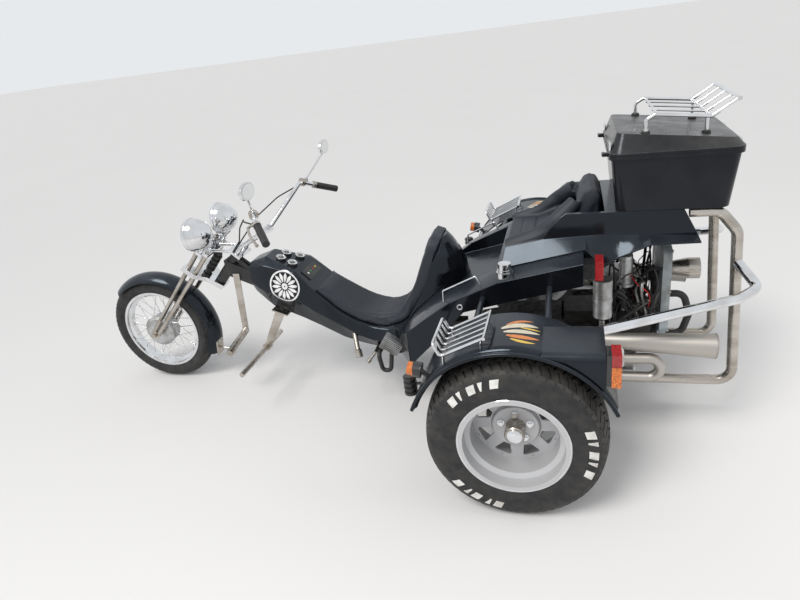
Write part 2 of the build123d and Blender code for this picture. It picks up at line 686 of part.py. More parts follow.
# The hood's upper block in side view, from its front end over the top to the tail's tip
HOOD_SIDE = ((64, 854), (-87, 883), (-116, 922), (-161, 970), (-184, HOOD_TOP_Z), (-618, HOOD_TOP_Z),
             (-675, 877))
# Its lower edge behind the tub's end
HOOD_LOW = ((-328, 773), (-385, 814), (-500, 863), (-675, 868))
# Where the lower wing starts, under the upper block: x, z at the crease
HOOD_CREASE = ((64, 854), (-87, 883), (-258, 893), (-318, 896), (-385, 894), (-500, 888), (-675, 877))
HOOD_WING_FRONT_X = 82.0


def hood_seat(x):
    """Height at which the hood's lower edge rests on the deck at x."""
    return deck_z(x) + FIT_GAP


def hood_bottom(front):
    """The hood's lower edge, from the tail's tip forwards to front."""
    end = TUB_END_X - FIT_GAP
    edge = [(front, hood_seat(front)), (end, hood_seat(end)), (end, HOOD_LOW[0][1] + 16)]
    return list(reversed(edge + list(HOOD_LOW)))


def hood_wing():
    """Left lower side of the hood, which flares out from the crease to the deck."""
    front, thin = HOOD_WING_FRONT_X, 5
    inner = list(HOOD_CREASE) + hood_bottom(HOOD_CREASE[0][0])
    edge = [(front, hood_seat(front) + thin), (-87, hood_seat(-87) + thin), (-258, hood_seat(TUB_END_X) + thin)]
    edge += [(x, z + thin) for x, z in ((-318, 776), (-385, 814), (-500, 863), (-675, 869))]
    outer = edge + hood_bottom(front)
    return loft([side_face(inner, HOOD_HALF_W), side_face(outer, HOOD_WING_HALF_W)], ruled=True)


def tail_hood():
    """Upper rear body: side blocks round the passenger's bay and the tail."""
    front = HOOD_SIDE[0][0]
    hood = side_prism(list(HOOD_SIDE) + hood_bottom(front), -HOOD_HALF_W, HOOD_HALF_W)
    wing = hood_wing()
    hood = hood + wing + mirror(wing, Plane.XZ)
    half, floor = SEAT_BAY_HALF_W, hood_seat(TUB_END_X)
    top = HOOD_TOP_Z + 100
    bay = side_prism([(120, 700), (TUB_END_X, 700), (TUB_END_X, floor), (BAY_REAR_X, floor), (BAY_REAR_X, top),
                      (120, top)], -half, half)
    under = [(TUB_END_X - PANEL, 700), (TUB_END_X - PANEL, HOOD_TOP_Z - PANEL), (-612, HOOD_TOP_Z - PANEL),
             (-662, 885), (-700, 700)]
    pocket = side_prism(under, -HOOD_HALF_W + PANEL, HOOD_HALF_W - PANEL)
    bay_walls = block(BAY_REAR_X - PANEL, TUB_END_X, -half - PANEL, half + PANEL, floor - PANEL, top)
    return hood - (pocket - bay_walls) - bay


def seat_line_x(z):
    """Where the backrest's rear face stands at height z."""
    rising = SEAT_LINE[4:]
    for (xa, za), (xb, zb) in zip(rising, rising[1:]):
        if z <= zb:
            return xa + (xb - xa) * (z - za) / (zb - za)
    return rising[-1][0]


# The shell behind the backrest: height, x of its rear, half width
SHELL_SECTIONS = ((482, 258, 186), (602, 262, 172), (694, 277, 150), (760, 303, 120), (815, 335, 80), (842, 356, 48))


def shell_section(z, rear, half):
    """D-shaped section of the shell, its flat side to the seat."""
    front = seat_line_x(z) + 6
    bend = front - (front - rear) * 0.25
    return make_face([
        Line((front, -half, z), (front, half, z)),
        Line((front, half, z), (bend, half, z)),
        ThreePointArc((bend, half, z), (rear, 0, z), (bend, -half, z)),
        Line((bend, -half, z), (front, -half, z)),
    ])


def seat_shell():
    """Moulded shell behind the driver's backrest."""
    shell = loft([shell_section(*row) for row in SHELL_SECTIONS], ruled=True) - seat_space()
    shell -= Pos(0, 0, FIT_GAP) * (tub_outer() - foot_well())
    return shell.solids().sort_by(SortBy.VOLUME)[-1]


def driver_seat():
    """One-piece seat pad: it dips between the dash and the tall, round-topped backrest."""
    pad = seat_slab(FIT_GAP, SEAT_PAD_T, SEAT_NOSE_T, SEAT_HALF_W)
    (xa, za), (xb, zb) = SEAT_LINE[-2:]
    up = Vector(xb - xa, 0, zb - za).normalized()
    reach = SEAT_LINE[0][0]
    outline = Pos(0, -reach / 2) * Rectangle(2 * SEAT_HALF_W, reach)
    outline = fillet(outline.vertices().sort_by(Axis.Y)[-2:], SEAT_TOP_CORNER_R)
    across = Plane(origin=(xb, 0, zb), x_dir=(0, 1, 0), z_dir=(up.Z, 0, -up.X))
    return pad & extrude(across * outline, reach, both=True)


PAD_ROLL_R = 36.0
PAD_ROLL = ((70, 178, 832), (-70, 178, 866), (-150, 165, 935), (-224, 118, 994))


def passenger_pads():
    """Passenger's seat with its side rolls and backrest, in one cushion."""
    front, rear, half = 72, -236, 178
    seat = side_prism([(front, deck_z(front) + FIT_GAP), (76, 835), (66, 850), (-60, 858), (-120, 880),
                       (-200, 905), (rear, 930), (rear, deck_z(rear) + FIT_GAP)], -half, half)
    roll = pipe(PAD_ROLL, PAD_ROLL_R, [150, 90])
    floor = hood_seat(TUB_END_X) + FIT_GAP
    back = side_prism([(-236, floor), (-236, 890), (-228, 985), (-250, 1045), (-275, 1060), (-305, 1056),
                       (-320, 1030), (-322, floor)], -140, 140)
    return seat + roll + mirror(roll, Plane.XZ) + back


def on_tub(shape):
    """What stands proud of the tub, with a fit gap under it."""
    proud = shape - Pos(0, 0, FIT_GAP) * tub_outer()
    return proud.solids().sort_by(SortBy.VOLUME)[-1]


def fuel_filler():
    """Filler flange and cap on the left shoulder."""
    x, y, z = 59, (DECK_HALF_W + TUB_HALF_W) / 2, 780
    flange = rod((x, y, z - 40), (x, y, z + 8), 34)
    cap = rod((x, y, z - 40), (x, y, z + 44), 26)
    cap = cap + rod((x, y, z + 10), (x, y, z + 18), 29)
    return on_tub(flange + cap)


# Fenders and their racks

def fender_top(x, lift=0.0):
    """Height of the rear fender's crown at x, and lift above it."""
    return REAR_TYRE_R + math.sqrt(FENDER_R ** 2 - x ** 2) + lift


def fender():
    """Left rear fender: arched crown with a grooved, beaded edge, and its squared tail."""
    y0, y1 = FENDER_Y
    r, wall, low = FENDER_R, FENDER_WALL, FENDER_R - FENDER_GROOVE
    y_low, y_end = y1 + 26, FENDER_EDGE_Y
    edges = [
        Line((r, y0), (r, y1)),
        ThreePointArc((r, y1), (r - 4, y1 + 16), (low, y_low)),
        Line((low, y_low), (r - 2, y_end)),
        Line((r - 2, y_end), (r - 2 - wall, y_end)),
        Line((r - 2 - wall, y_end), (low - wall, y_low)),
        ThreePointArc((low - wall, y_low), (r - 4 - wall, y1 + 12), (r - wall, y1 - 2)),
        Line((r - wall, y1 - 2), (r - wall, y0)),
        Line((r - wall, y0), (r, y0)),
    ]
    a0, a1 = FENDER_ANGLES
    axle = Axis((0, 0, 0), (0, 1, 0))
    crown = revolve(make_face(edges), axle, a1 - a0)
    bead = Pos(r - 2 - wall / 2, y_end - 2) * Circle(FENDER_BEAD_R)
    crown = Pos(0, 0, REAR_TYRE_R) * Rot(0, -a1, 0) * (crown + revolve(bead, axle, a1 - a0))
    t0, t1 = FENDER_TAIL_Z
    tail = side_prism([(-90, t1 - 26), (-112, t1), (FENDER_TAIL_X, t1), (FENDER_TAIL_X, t0), (-215, t0)],
                      *FENDER_TAIL_Y)
    tail = fillet(tail.edges().filter_by(Axis.X).sort_by(Axis.Z)[-2:], 28)
    hollow = rod((0, y0 - 50, REAR_TYRE_R), (0, y1 + 80, REAR_TYRE_R), r - wall - 0.5)
    arms = rod((150, y0 + 3, fender_top(150, -10)), (150, TUB_HALF_W + FIT_GAP, fender_top(150, -10)), 13)
    arms += rod((-120, y0 + 3, fender_top(-120, -10)), (-120, TUB_HALF_W + 2.5, fender_top(-120, 27)), 13)
    return crown + (tail - hollow) + (arms - hollow)


RACK_Y = (652, 852)
# Corners of the rack's side view: x, and height over the fender's crown
RACK_SIDE = ((84, 38), (243, 38), (266, 107))
RACK_FEET = ((94, -14), (232, -14))


def fender_rack():
    """Left fender rack: five bars with upturned front ends on four feet."""
    y0, y1 = RACK_Y
    rear, front, lip = [(x, fender_top(x, lift)) for x, lift in RACK_SIDE]
    loop = [(rear, y0), (front, y0), (lip, y0), (lip, y1), (front, y1), (rear, y1)]
    rack = pipe([(x, y, z) for (x, z), y in loop], 6, 14)
    rack += rod((rear[0], y0 - 6, rear[1]), (rear[0], y1 + 6, rear[1]), 6)
    for index in range(1, 5):
        y = y0 + (y1 - y0) * index / 5
        rack += pipe([(x, y, z) for x, z in (rear, front, lip)], 4, 10)
    for y in (y0, y1):
        for x, sink in RACK_FEET:
            top = rear[1] + (front[1] - rear[1]) * (x - rear[0]) / (front[0] - rear[0])
            rack += rod((x, y, top), (x, y, fender_top(x, sink)), 5)
    return rack - rod((0, 500, REAR_TYRE_R), (0, 1000, REAR_TYRE_R), FENDER_R + FIT_GAP)


def shoulder_rail():
    """Small bright rail on the left shoulder."""
    return on_tub(pipe([(328, 352, 620), (326, 352, 702), (181, 352, 768), (150, 352, 700)], 4, 8))


# Rear hoop, bars and lamps

def hoop_x(z):
    """Where the leaning uprights of the hoop stand at height z."""
    top, foot = HOOP_X
    return foot + (top - foot) * (z - HOOP_Z) / (HOOP_BEND_Z - HOOP_Z)


def rear_hoop():
    """Tube hoop round the engine: two uprights, both ends led forwards, with cross tubes."""
    half = pipe([(-641, HOOP_Y, HOOP_TOP_Z), (-746, HOOP_Y, HOOP_TOP_Z), (HOOP_X[0], HOOP_Y, HOOP_BEND_Z),
                 (HOOP_X[1], HOOP_Y, HOOP_Z), (RAIL_X[0] - FIT_GAP, HOOP_Y, HOOP_Z)], HOOP_R, 58)
    hoop = half + mirror(half, Plane.XZ)
    hoop += rod((-684, -HOOP_Y, HOOP_TOP_Z), (-684, HOOP_Y, HOOP_TOP_Z), 16)
    return hoop


def side_bar():
    """Left guard tube from the fender back to the hoop."""
    end_z = 758
    bar = pipe([(-120, 560, 588), (-207, 560, 600), (-806, 376, 672), (-878, 326, 694),
                (hoop_x(end_z), HOOP_Y, end_z)], SIDE_BAR_R, 36)
    return bar - rod((hoop_x(400), HOOP_Y, 400), (hoop_x(1000), HOOP_Y, 1000), HOOP_R + FIT_GAP)


LAMP_Y = (820.0, 893.0)
LAMP_Z = (REAR_TYRE_R + 264, REAR_TYRE_R + 386)


def tail_lamp():
    """Left tail lamp on the fender's tail: housing, then the red over the amber lens."""
    x0 = FENDER_TAIL_X - FIT_GAP
    (y0, y1), (z0, z1) = LAMP_Y, LAMP_Z
    split = z1 - (z1 - z0) * 0.36
    housing = block(x0, x0 - 16, y0 + 3, y1 - 3, z0 + 3, z1 - 3)
    lenses = block(x0 - 16, x0 - 46, y0, y1, z0, split - 1) + block(x0 - 16, x0 - 46, y0, y1, split + 1, z1)
    lenses += block(x0 - 16, x0 - 43, y0 + 2, y1 - 2, split - 2, split + 2)
    return housing + lenses


def round_lamp():
    """Left bowl lamp beside the tail lamp."""
    z = sum(FENDER_TAIL_Z) / 2 - 18
    lamp = rod((FENDER_TAIL_X - FIT_GAP, 752, z), (FENDER_TAIL_X - 62, 752, z), 40)
    return chamfer(lamp.edges().sort_by(Axis.X)[:1], 10)


def shoulder_lamp():
    """Left upper lamp behind the tub's shoulder."""
    x0 = TUB_END_X - FIT_GAP
    cup = block(x0, x0 - 42, 330, 398, 766, 830)
    lens = block(x0 - 42, x0 - 72, 326, 402, 763, 842)
    return cup + lens


def fender_point(angle, lift, y):
    """Point over the rear fender's crown at an angle above the level."""
    turn, reach = math.radians(angle), FENDER_R + lift
    return (reach * math.cos(turn), y, REAR_TYRE_R + reach * math.sin(turn))


def crown_space():
    """Room the rear fender's crown takes, with a fit gap round it."""
    return rod((0, FENDER_Y[0], REAR_TYRE_R), (0, FENDER_EDGE_Y, REAR_TYRE_R), FENDER_R + FIT_GAP)


def turn_signal():
    """Left front indicator on the fender's leading edge."""
    foot = fender_point(36.4, FIT_GAP, 800)
    x, z = foot[0] + 17, foot[2] + 18
    cup = rod((x, 800, z), (x + 30, 800, z + 6), 30)
    lens = rod((x + 30, 800, z + 6), (x + 52, 800, z + 10), 26)
    arm = rod(foot, (x + 6, 800, z + 2), 10)
    return cup + lens + arm - crown_space()


def horn():
    """Ribbed signal horn under the left indicator, on its stay."""
    seat = fender_point(25.5, FIT_GAP, 762)
    x, z = seat[0] + 42, seat[2] - 6
    body = rod((x, 762, z - 44), (x, 762, z + 40), 20)
    for index in range(4):
        level = z - 40 + index * 22
        body += rod((x, 762, level), (x, 762, level + 9), 26)
    return body + rod(seat, (x, 762, z), 6) - crown_space()


# Top case

def case_level(z):
    """Half width, front x and rear x of the case's wall at height z."""
    share = (z - CASE_FLOOR_Z) / (CASE_RIM_Z - CASE_FLOOR_Z)
    half = CASE_FOOT_HALF_W + (CASE_HALF_W - CASE_LIP - CASE_FOOT_HALF_W) * share
    front = CASE_FOOT_X[0] + (CASE_X[0] - CASE_LIP - CASE_FOOT_X[0]) * share
    rear = CASE_FOOT_X[1] + (CASE_X[1] + CASE_LIP - CASE_FOOT_X[1]) * share
    return half, front, rear


def case_plan(z, half, front, rear, corner):
    """Rounded rectangle of the case seen from above."""
    return Plane(origin=((front + rear) / 2, 0, z)) * RectangleRounded(front - rear, 2 * half, corner)


def case_section(z, inset, corner):
    half, front, rear = case_level(z)
    return case_plan(z, half - inset, front - inset, rear + inset, corner)


def hinge_knuckle(y0, y1, z0, z1):
    """One hinge barrel with its leaf, which reaches the case between z0 and z1."""
    x, z = HINGE
    barrel = rod((x, y0, z), (x, y1, z), HINGE_R)
    return barrel + block(CASE_X[0] - 2, x, y0, y1, z0, z1)


def top_case_box():
    """Lower half of the top case: tapered walls, floor, and the lip under the lid."""
    outer = loft([case_section(CASE_FLOOR_Z, 0, 40), case_section(CASE_RIM_Z, 0, 40)], ruled=True)
    outer += extrude(case_plan(CASE_RIM_Z - CASE_LIP_H, CASE_HALF_W, *CASE_X, 44), CASE_LIP_H)
    inner = loft([case_section(CASE_FLOOR_Z + CASE_WALL, CASE_WALL, 36),
                  case_section(CASE_RIM_Z + 2, CASE_WALL, 36)], ruled=True)
    box = outer - inner
    for y in (HINGE_Y, -HINGE_Y):
        box += hinge_knuckle(y - 20, y - 0.5, CASE_RIM_Z - 10, CASE_RIM_Z)
    return box


def lid_top_z(x):
    """Height of the lid's sloping top at x."""
    (xa, xb), (za, zb) = LID_RIDGE_X, LID_RIDGE_Z
    return za + (zb - za) * (x - xa) / (xb - xa)


def lid_top(inset, corner):
    """The lid's sloping top face, inset from its edges and from the top."""
    (xa, xb), (za, zb) = LID_RIDGE_X, LID_RIDGE_Z
    slope = Vector(xa - xb, 0, za - zb)
    plane = Plane(origin=((xa + xb) / 2, 0, (za + zb) / 2 - inset), x_dir=slope, z_dir=(zb - za, 0, xa - xb))
    return plane * RectangleRounded(slope.length - 2 * inset, 2 * (LID_TOP_HALF_W - inset), corner)


def top_case_lid():
    """Lid of the top case: thick lip, tapered crown and a top that slopes to the rear."""
    z0 = CASE_RIM_Z + LID_GAP
    front, rear = CASE_X
    lip, step = 12, CASE_LIP / 2
    outer = extrude(case_plan(z0, CASE_HALF_W, front, rear, 44), lip)
    outer += loft([case_plan(z0 + lip, CASE_HALF_W - step, front - step, rear + step, 42), lid_top(0, 30)],
                  ruled=True)
    wall = CASE_LIP + CASE_WALL
    inner = loft([case_plan(z0, CASE_HALF_W - wall, front - wall, rear + wall, 36), lid_top(CASE_WALL, 26)],
                 ruled=True)
    lid = outer - inner
    for y in (HINGE_Y, -HINGE_Y):
        lid += hinge_knuckle(y + 0.5, y + 20, z0, z0 + 9)
    return lid


RACK_HALF_W = 205.0
RACK_TUBE_R = 7.0
RACK_BAR_R = 8.0
# Side tube of the rack from its front foot to its raised rear end: x, z
RACK_TOP = ((-470, 1322), (-500, 1340), (-690, 1318), (-772, 1372))
RACK_POST_X = -686.0


def luggage_rack():
    """Chrome rack on the lid: side tubes, cross bars and lengthwise bars."""
    half = RACK_HALF_W
    foot_x = RACK_TOP[0][0]
    foot = (foot_x, lid_top_z(foot_x + RACK_TUBE_R) + FIT_GAP)
    side = pipe([(x, half, z) for x, z in (foot,) + RACK_TOP], RACK_TUBE_R, 12)
    rack = side + mirror(side, Plane.XZ)
    rack += rod((foot_x, half, foot[1]), (foot_x, half, foot[1] + 14), RACK_TUBE_R + 3)
    rack += rod((foot_x, -half, foot[1]), (foot_x, -half, foot[1] + 14), RACK_TUBE_R + 3)
    (x_front, z_front), (x_low, z_low), (x_end, z_end) = RACK_TOP[1:]
    rack += rod((x_end, -half - 10, z_end), (x_end, half + 10, z_end), RACK_BAR_R)
    for index in range(1, 4):
        y = -half + 2 * half * index / 4
        rack += pipe([(x_front, y, z_front), (x_low, y, z_low), (x_end, y, z_end)], 4, 20)
    for x in (x_front - 8, RACK_POST_X):
        z = z_front + (z_low - z_front) * (x - x_front) / (x_low - x_front)
        rack += rod((x, -half, z), (x, half, z), 5)
    for y in (-150, 150):
        rack += rod((RACK_POST_X, y, z_low), (RACK_POST_X, y, lid_top_z(RACK_POST_X + RACK_TUBE_R) + FIT_GAP),
                    RACK_TUBE_R)
    return rack


# Fork, handlebar and what they carry

def fork_legs():
    legs = []
    for side in (-1, 1):
        for which in (-1, 1):
            legs.append(rod(leg_point(LEG_U[0], side, which), leg_point(LEG_U[1], side, which), LEG_R))
    return legs


def fork_ends():
    """Axle lugs at the feet of the legs."""
    ends = []
    for side in (-1, 1):
        y0, y1 = side * (LEG_Y - 9), side * (LEG_Y + 9)
        centre = steer(0, AXLE_OFFSET)
        lug = rod((centre[0], y0, centre[2]), (centre[0], y1, centre[2]), 25)
        plane = steer_plane(0)
        slab = extrude(plane * Pos(AXLE_OFFSET, side * LEG_Y) * Rectangle(52, 18), LEG_U[0] - FIT_GAP)
        hole = rod((centre[0], y0 - side, centre[2]), (centre[0], y1 + side, centre[2]), FRONT_AXLE_R)
        ends.append(lug + slab - hole)
    return ends


def front_axle():
    centre = (WHEELBASE, FRONT_TYRE_R)
    axle = rod((centre[0], -FRONT_AXLE_HALF, centre[1]), (centre[0], FRONT_AXLE_HALF, centre[1]), FRONT_AXLE_R)
    for side in (-1, 1):
        axle += rod((centre[0], side * (LEG_Y + 9 + FIT_GAP), centre[1]),
                    (centre[0], side * FRONT_AXLE_HALF, centre[1]), 14)
        axle += rod((centre[0], side * 59, centre[1]), (centre[0], side * (LEG_Y - 9 - FIT_GAP), centre[1]), 13)
    return axle


def brake_plate():
    y0, y1 = BRAKE_PLATE_Y
    plate = ring([(FRONT_AXLE_R + FIT_GAP, y0), (BRAKE_PLATE_R, y0), (BRAKE_PLATE_R, y0 + 8),
                  (BRAKE_PLATE_R - 14, y1), (FRONT_AXLE_R + FIT_GAP, y1)], (WHEELBASE, 0, FRONT_TYRE_R))
    anchor = leg_point(LEG_U[0] + 46, 1, -1)
    plate += rod((anchor[0], y1 - 8, anchor[2]), (anchor[0], LEG_Y - LEG_R - FIT_GAP, anchor[2]), 9)
    return plate


def leg_holes(u0, u1):
    cuts = []
    for side in (-1, 1):
        for which in (-1, 1):
            low, high = leg_point(u0 - 30, side, which), leg_point(u1 + 30, side, which)
            cuts.append(rod(low, high, LEG_R + FIT_GAP / 2))
    return cuts


def lower_yoke():
    """Lower yoke with the steering stem."""
    u0, u1 = LOWER_YOKE_U
    plane = steer_plane(u0)
    outline = make_face(Polyline((-34, -34), (60, -62), (112, -110), (188, -110), (188, -62), (120, -40),
                                 (120, 40), (188, 62), (188, 110), (112, 110), (60, 62), (-34, 34),
                                 close=True))
    yoke = extrude(plane * outline, u1 - u0)
    for cut in leg_holes(u0, u1):
        yoke -= cut
    stem = extrude(steer_plane(u0) * Circle(STEM_R), TOP_PLATE_U[1] - u0)
    return yoke + stem


def upper_yoke():
    """Cross bar over the legs, its two long arms and the plate on the stem."""
    u0, u1 = UPPER_YOKE_U
    plane = steer_plane(u0)
    bar = extrude(plane * Pos(AXLE_OFFSET, 0) * Rectangle(78, 212), u1 - u0)
    bar += extrude(plane * Pos(AXLE_OFFSET, 0) * Rectangle(34, 262), u1 - u0)
    for cut in leg_holes(u0, u1):
        bar -= cut
    plate = extrude(steer_plane(TOP_PLATE_U[0]) * Rectangle(76, 130), TOP_PLATE_U[1] - TOP_PLATE_U[0])
    plate -= extrude(steer_plane(TOP_PLATE_U[0] - 2) * Circle(STEM_R + FIT_GAP / 2), 40)
    yoke = bar + plate
    front, back = steer(u1 - 4, AXLE_OFFSET - 20), steer(TOP_PLATE_U[0] + 6, 20)
    for side in (-1, 1):
        yoke += rod((front[0], side * 50, front[2]), (back[0], side * 50, back[2]), 8)
    return yoke


def fork_spring():
    """Gaitered spring between the yokes."""
    u0, u1 = LOWER_YOKE_U[1] + FIT_GAP, UPPER_YOKE_U[0] - FIT_GAP
    n = 84
    count = 9
    pitch = (u1 - u0) / count
    spring = None
    for index in range(count):
        bead = extrude(steer_plane(u0 + pitch * index) * Pos(n, 0)
                       * Circle(FORK_SPRING_R if index % 2 else FORK_SPRING_R - 6), pitch)
        spring = bead if spring is None else spring + bead
    return spring


def bar_point(start, end, share, side):
    """Point along a stretch of the handlebar on one side."""
    x, y, z = along(start, end, share)
    return (x, side * y, z)


def levers():
    """Lever perches, blades and switch housings on both ends of the handlebar."""
    pieces = []
    hole = handlebar(FIT_GAP / 2)
    run = Vector(*GRIP_END) - Vector(*GRIP_START)
    ahead = Vector(run.Y, -run.X, 0).normalized()
    for side in (-1, 1):
        inner, outer = (bar_point(GRIP_START, GRIP_END, share, side) for share in (0.02, 0.12))
        perch = rod(inner, outer, PERCH_R)
        reach = [(0.04, 12), (0.12, 44), (0.5, 50), (1.0, 40)]
        blade = []
        for share, off in reach:
            x, y, z = bar_point(GRIP_START, GRIP_END, share, side)
            blade.append((x + ahead.X * off, y + side * ahead.Y * off, z + 4))
        lever = pipe(blade, 5.5, [14, 60])
        lever += rod(along(blade[2], blade[3], 0.98), along(blade[2], blade[3], 1.06), 8)
        pieces.append(perch + lever - hole)
        switch = rod(bar_point(BAR_SHOULDER, GRIP_START, 0.0, side), bar_point(BAR_SHOULDER, GRIP_START, 0.3, side),
                     BAR_R + 9)
        x, y, z = bar_point(BAR_SHOULDER, GRIP_START, 0.15, side)
        switch += rod((x, y, z), (x - 26, y, z + 6), 5)
        pieces.append(switch - hole)
    return pieces


CABLE_R = 3.5
PERCH_R = BAR_R + 7


def control_cables():
    """Lever cables from the perches to the top plate, and the front brake's cable."""
    pieces = []
    above = TOP_PLATE_U[1] + FIT_GAP
    for side in (-1, 1):
        x, y, z = bar_point(GRIP_START, GRIP_END, 0.02, side)
        perch = rod(*(bar_point(GRIP_START, GRIP_END, share, side) for share in (-0.1, 0.2)), PERCH_R + FIT_GAP)
        route = [(x + 10, y + side * 6, z), (x + 74, y - side * 20, z + 8), (x + 150, side * 190, z - 20),
                 (x + 240, side * 96, z - 90), steer(above + 45, 22, side * 14), steer(above, 22, side * 14)]
        pieces.append(pipe(route, CABLE_R, [45, 90, 70, 36]) - perch)
    return pieces


def risers():
    """Pull-back risers from the top plate to the handlebar's clamps."""
    foot = steer(TOP_PLATE_U[1] + 3 * FIT_GAP, -10)
    top = (BAR_CLAMP[0], BAR_CLAMP[2])
    pieces = []
    for side in (-1, 1):
        y = side * 44
        arm = pipe([(foot[0], y, foot[2]), (foot[0] - 28, y, foot[2] + 34), (top[0] + 8, y, top[1] - 6)], 11, 16)
        clamp = rod((top[0], y - 14, top[1]), (top[0], y + 14, top[1]), 23)
        hole = rod((top[0], y - 20, top[1]), (top[0], y + 20, top[1]), BAR_R + FIT_GAP / 2)
        pieces.append((arm + clamp) - hole - handlebar(FIT_GAP / 2))
    return pieces


def handlebar(extra=0.0):
    half = [BAR_CLAMP, BAR_SHOULDER, GRIP_START, GRIP_END]
    mirrored = [(x, -y, z) for x, y, z in reversed(half)]
    return pipe(mirrored + half, BAR_R + extra, 38)


def along(start, end, share):
    return tuple(a + (b - a) * share for a, b in zip(start, end))


def grips():
    pieces = []
    start = along(GRIP_START, GRIP_END, 0.14)
    past = along(GRIP_START, GRIP_END, 1.02)
    for side in (-1, 1):
        a = (start[0], side * start[1], start[2])
        b = (past[0], side * past[1], past[2])
        end = (GRIP_END[0], side * GRIP_END[1], GRIP_END[2])
        pieces.append(rod(a, b, GRIP_R) - rod(along(b, a, 1.05), end, BAR_R + FIT_GAP / 2))
    return pieces


def mirrors():
    """Mirror heads, their stems and the clamps on the handlebar."""
    pieces = []
    for side in (-1, 1):
        foot = along(BAR_SHOULDER, GRIP_START, 0.56)
        foot = (foot[0], side * foot[1], foot[2])
        head = (MIRROR[0], side * MIRROR[1], MIRROR[2])
        low = (head[0] + 4, head[1] - side * 6, head[2] - MIRROR_SIZE[1] / 2 + 6)
        stem = rod((foot[0], foot[1], foot[2] + 26), low, 5)
        face = Plane(origin=(head[0] - MIRROR_T / 2, head[1], head[2]), x_dir=(0, 1, 0), z_dir=(1, 0, 0))
        shell = extrude(face * Ellipse(MIRROR_SIZE[0] / 2, MIRROR_SIZE[1] / 2), MIRROR_T)
        shell = chamfer(shell.edges().sort_by(Axis.X)[-1:], 8)
        socket = rod((foot[0], foot[1], foot[2]), (foot[0], foot[1], foot[2] + 34), 9)
        pieces.append(stem + shell + (socket - handlebar(FIT_GAP)))
    return pieces


def headlights():
    lamps = []
    x, y, z = HEADLIGHT
    for side in (-1, 1):
        edges = [Line((0, 0), (HEADLIGHT_FRONT, 0)), Line((HEADLIGHT_FRONT, 0), (HEADLIGHT_FRONT, HEADLIGHT_R)),
                 Line((HEADLIGHT_FRONT, HEADLIGHT_R), (HEADLIGHT_FRONT - 18, HEADLIGHT_R)),
                 ThreePointArc((HEADLIGHT_FRONT - 18, HEADLIGHT_R), (-HEADLIGHT_BACK * 0.62, HEADLIGHT_R * 0.64),
                               (-HEADLIGHT_BACK, 0)),
                 Line((-HEADLIGHT_BACK, 0), (0, 0))]
        bowl = revolve(make_face(edges), Axis((0, 0, 0), (1, 0, 0)), 360)
        lamp = Pos(x, side * y, z) * bowl
        low, n, across = UPPER_YOKE_U[1] + FIT_GAP, AXLE_OFFSET, 116
        lamp += extrude(steer_plane(low) * Pos(n, side * across) * Circle(13), 16)
        lamp += rod(steer(low + 10, n, side * across), (x - 14, side * y, z - HEADLIGHT_R + 12), 9)
        lamps.append(lamp)
    return lamps


def front_fender():
    """Close-fitting fender with a rounded crown, pinned between the legs."""
    r, w, drop, wall = FRONT_FENDER_R, FRONT_FENDER_HALF_W, FRONT_FENDER_DROP, FRONT_FENDER_WALL
    edges = [
        ThreePointArc((r - drop, w), (r, 0), (r - drop, -w)),
        Line((r - drop, -w), (r - drop, -w + wall)),
        ThreePointArc((r - drop, -w + wall), (r - wall, 0), (r - drop, w - wall)),
        Line((r - drop, w - wall), (r - drop, w)),
    ]
    a0, a1 = FRONT_FENDER_ANGLES
    shell = revolve(make_face(edges), Axis((0, 0, 0), (0, 1, 0)), a1 - a0)
    shell = Rot(0, -a1, 0) * shell
    fender = Pos(FRONT_FENDER_CENTRE[0], 0, FRONT_FENDER_CENTRE[1]) * shell
    for side in (-1, 1):
        for which in (-1, 1):
            at = leg_point(FENDER_PIN_U, side, which)
            fender += rod((at[0], side * (w - 16), at[2]), (at[0], side * (LEG_Y - LEG_R - FIT_GAP), at[2]), 6)
    return fender


# Small things

def gauge(x, y):
    """One dial on the dash's front slope."""
    (xa, _, za), (xb, _, zb) = (1308, 0, 769), (1138, 0, 707)
    z = zb + (za - zb) * (x - xb) / (xa - xb)
    slope = math.atan2(za - zb, xa - xb)
    normal = Vector(-math.sin(slope), 0, math.cos(slope))
    start = Vector(x, y, z) + normal * FIT_GAP
    return extrude(Plane(origin=start, z_dir=normal) * Circle(24), 12)


def gauges():
    return [gauge(x, y) for x, y in ((1166, 50), (1166, -50), (1232, 34), (1232, -34))]


def lamp_panel():
    """Warning-lamp panel on the dash's rear slope."""
    xa, za, xb, zb = 1138, 707, 1052, 618
    slope = math.atan2(za - zb, xa - xb)
    normal = Vector(-math.sin(slope), 0, math.cos(slope))
    middle = Vector((xa + xb) / 2, 0, (za + zb) / 2) + normal * FIT_GAP
    plane = Plane(origin=middle, x_dir=(0, 1, 0), z_dir=normal)
    return extrude(plane * Rectangle(150, 62), 5)


def foot_controls():
    """Cross bar with its rest and bracket, and the forward pedal bracket."""
    slope = (497 - 432) / (1308 - 1138)
    top = 497 - FIT_GAP
    flange = side_prism([(1304, top - 4 * slope), (1222, top - 86 * slope), (1222, top - 86 * slope - 7),
                         (1304, top - 4 * slope - 7)], -76, 124)
    bar = flange + side_prism([(1240, 466), (1286, 484), (1408, 262), (1372, 252)], 116, 124)
    bar += rod((1390, -60, 268), (1390, 404, 268), 13)
    bar += rod((1390, 90, 268), (1390, 124, 268), 22)
    y0, y1 = BACKBONE_W / 2 + FIT_GAP, BACKBONE_W / 2 + FIT_GAP + 8
    pedal = side_prism([(1498, 668), (1536, 668), (1566, 322), (1532, 316)], y0, y1)
    pedal += rod((1549, y0, 325), (1549, 235, 290), 19)
    pedal += side_prism([(1612, 352), (1620, 352), (1634, 272), (1626, 272)], 168, 224)
    pedal += rod((1549, 196, 296), (1624, 196, 310), 6)
    return bar, pedal


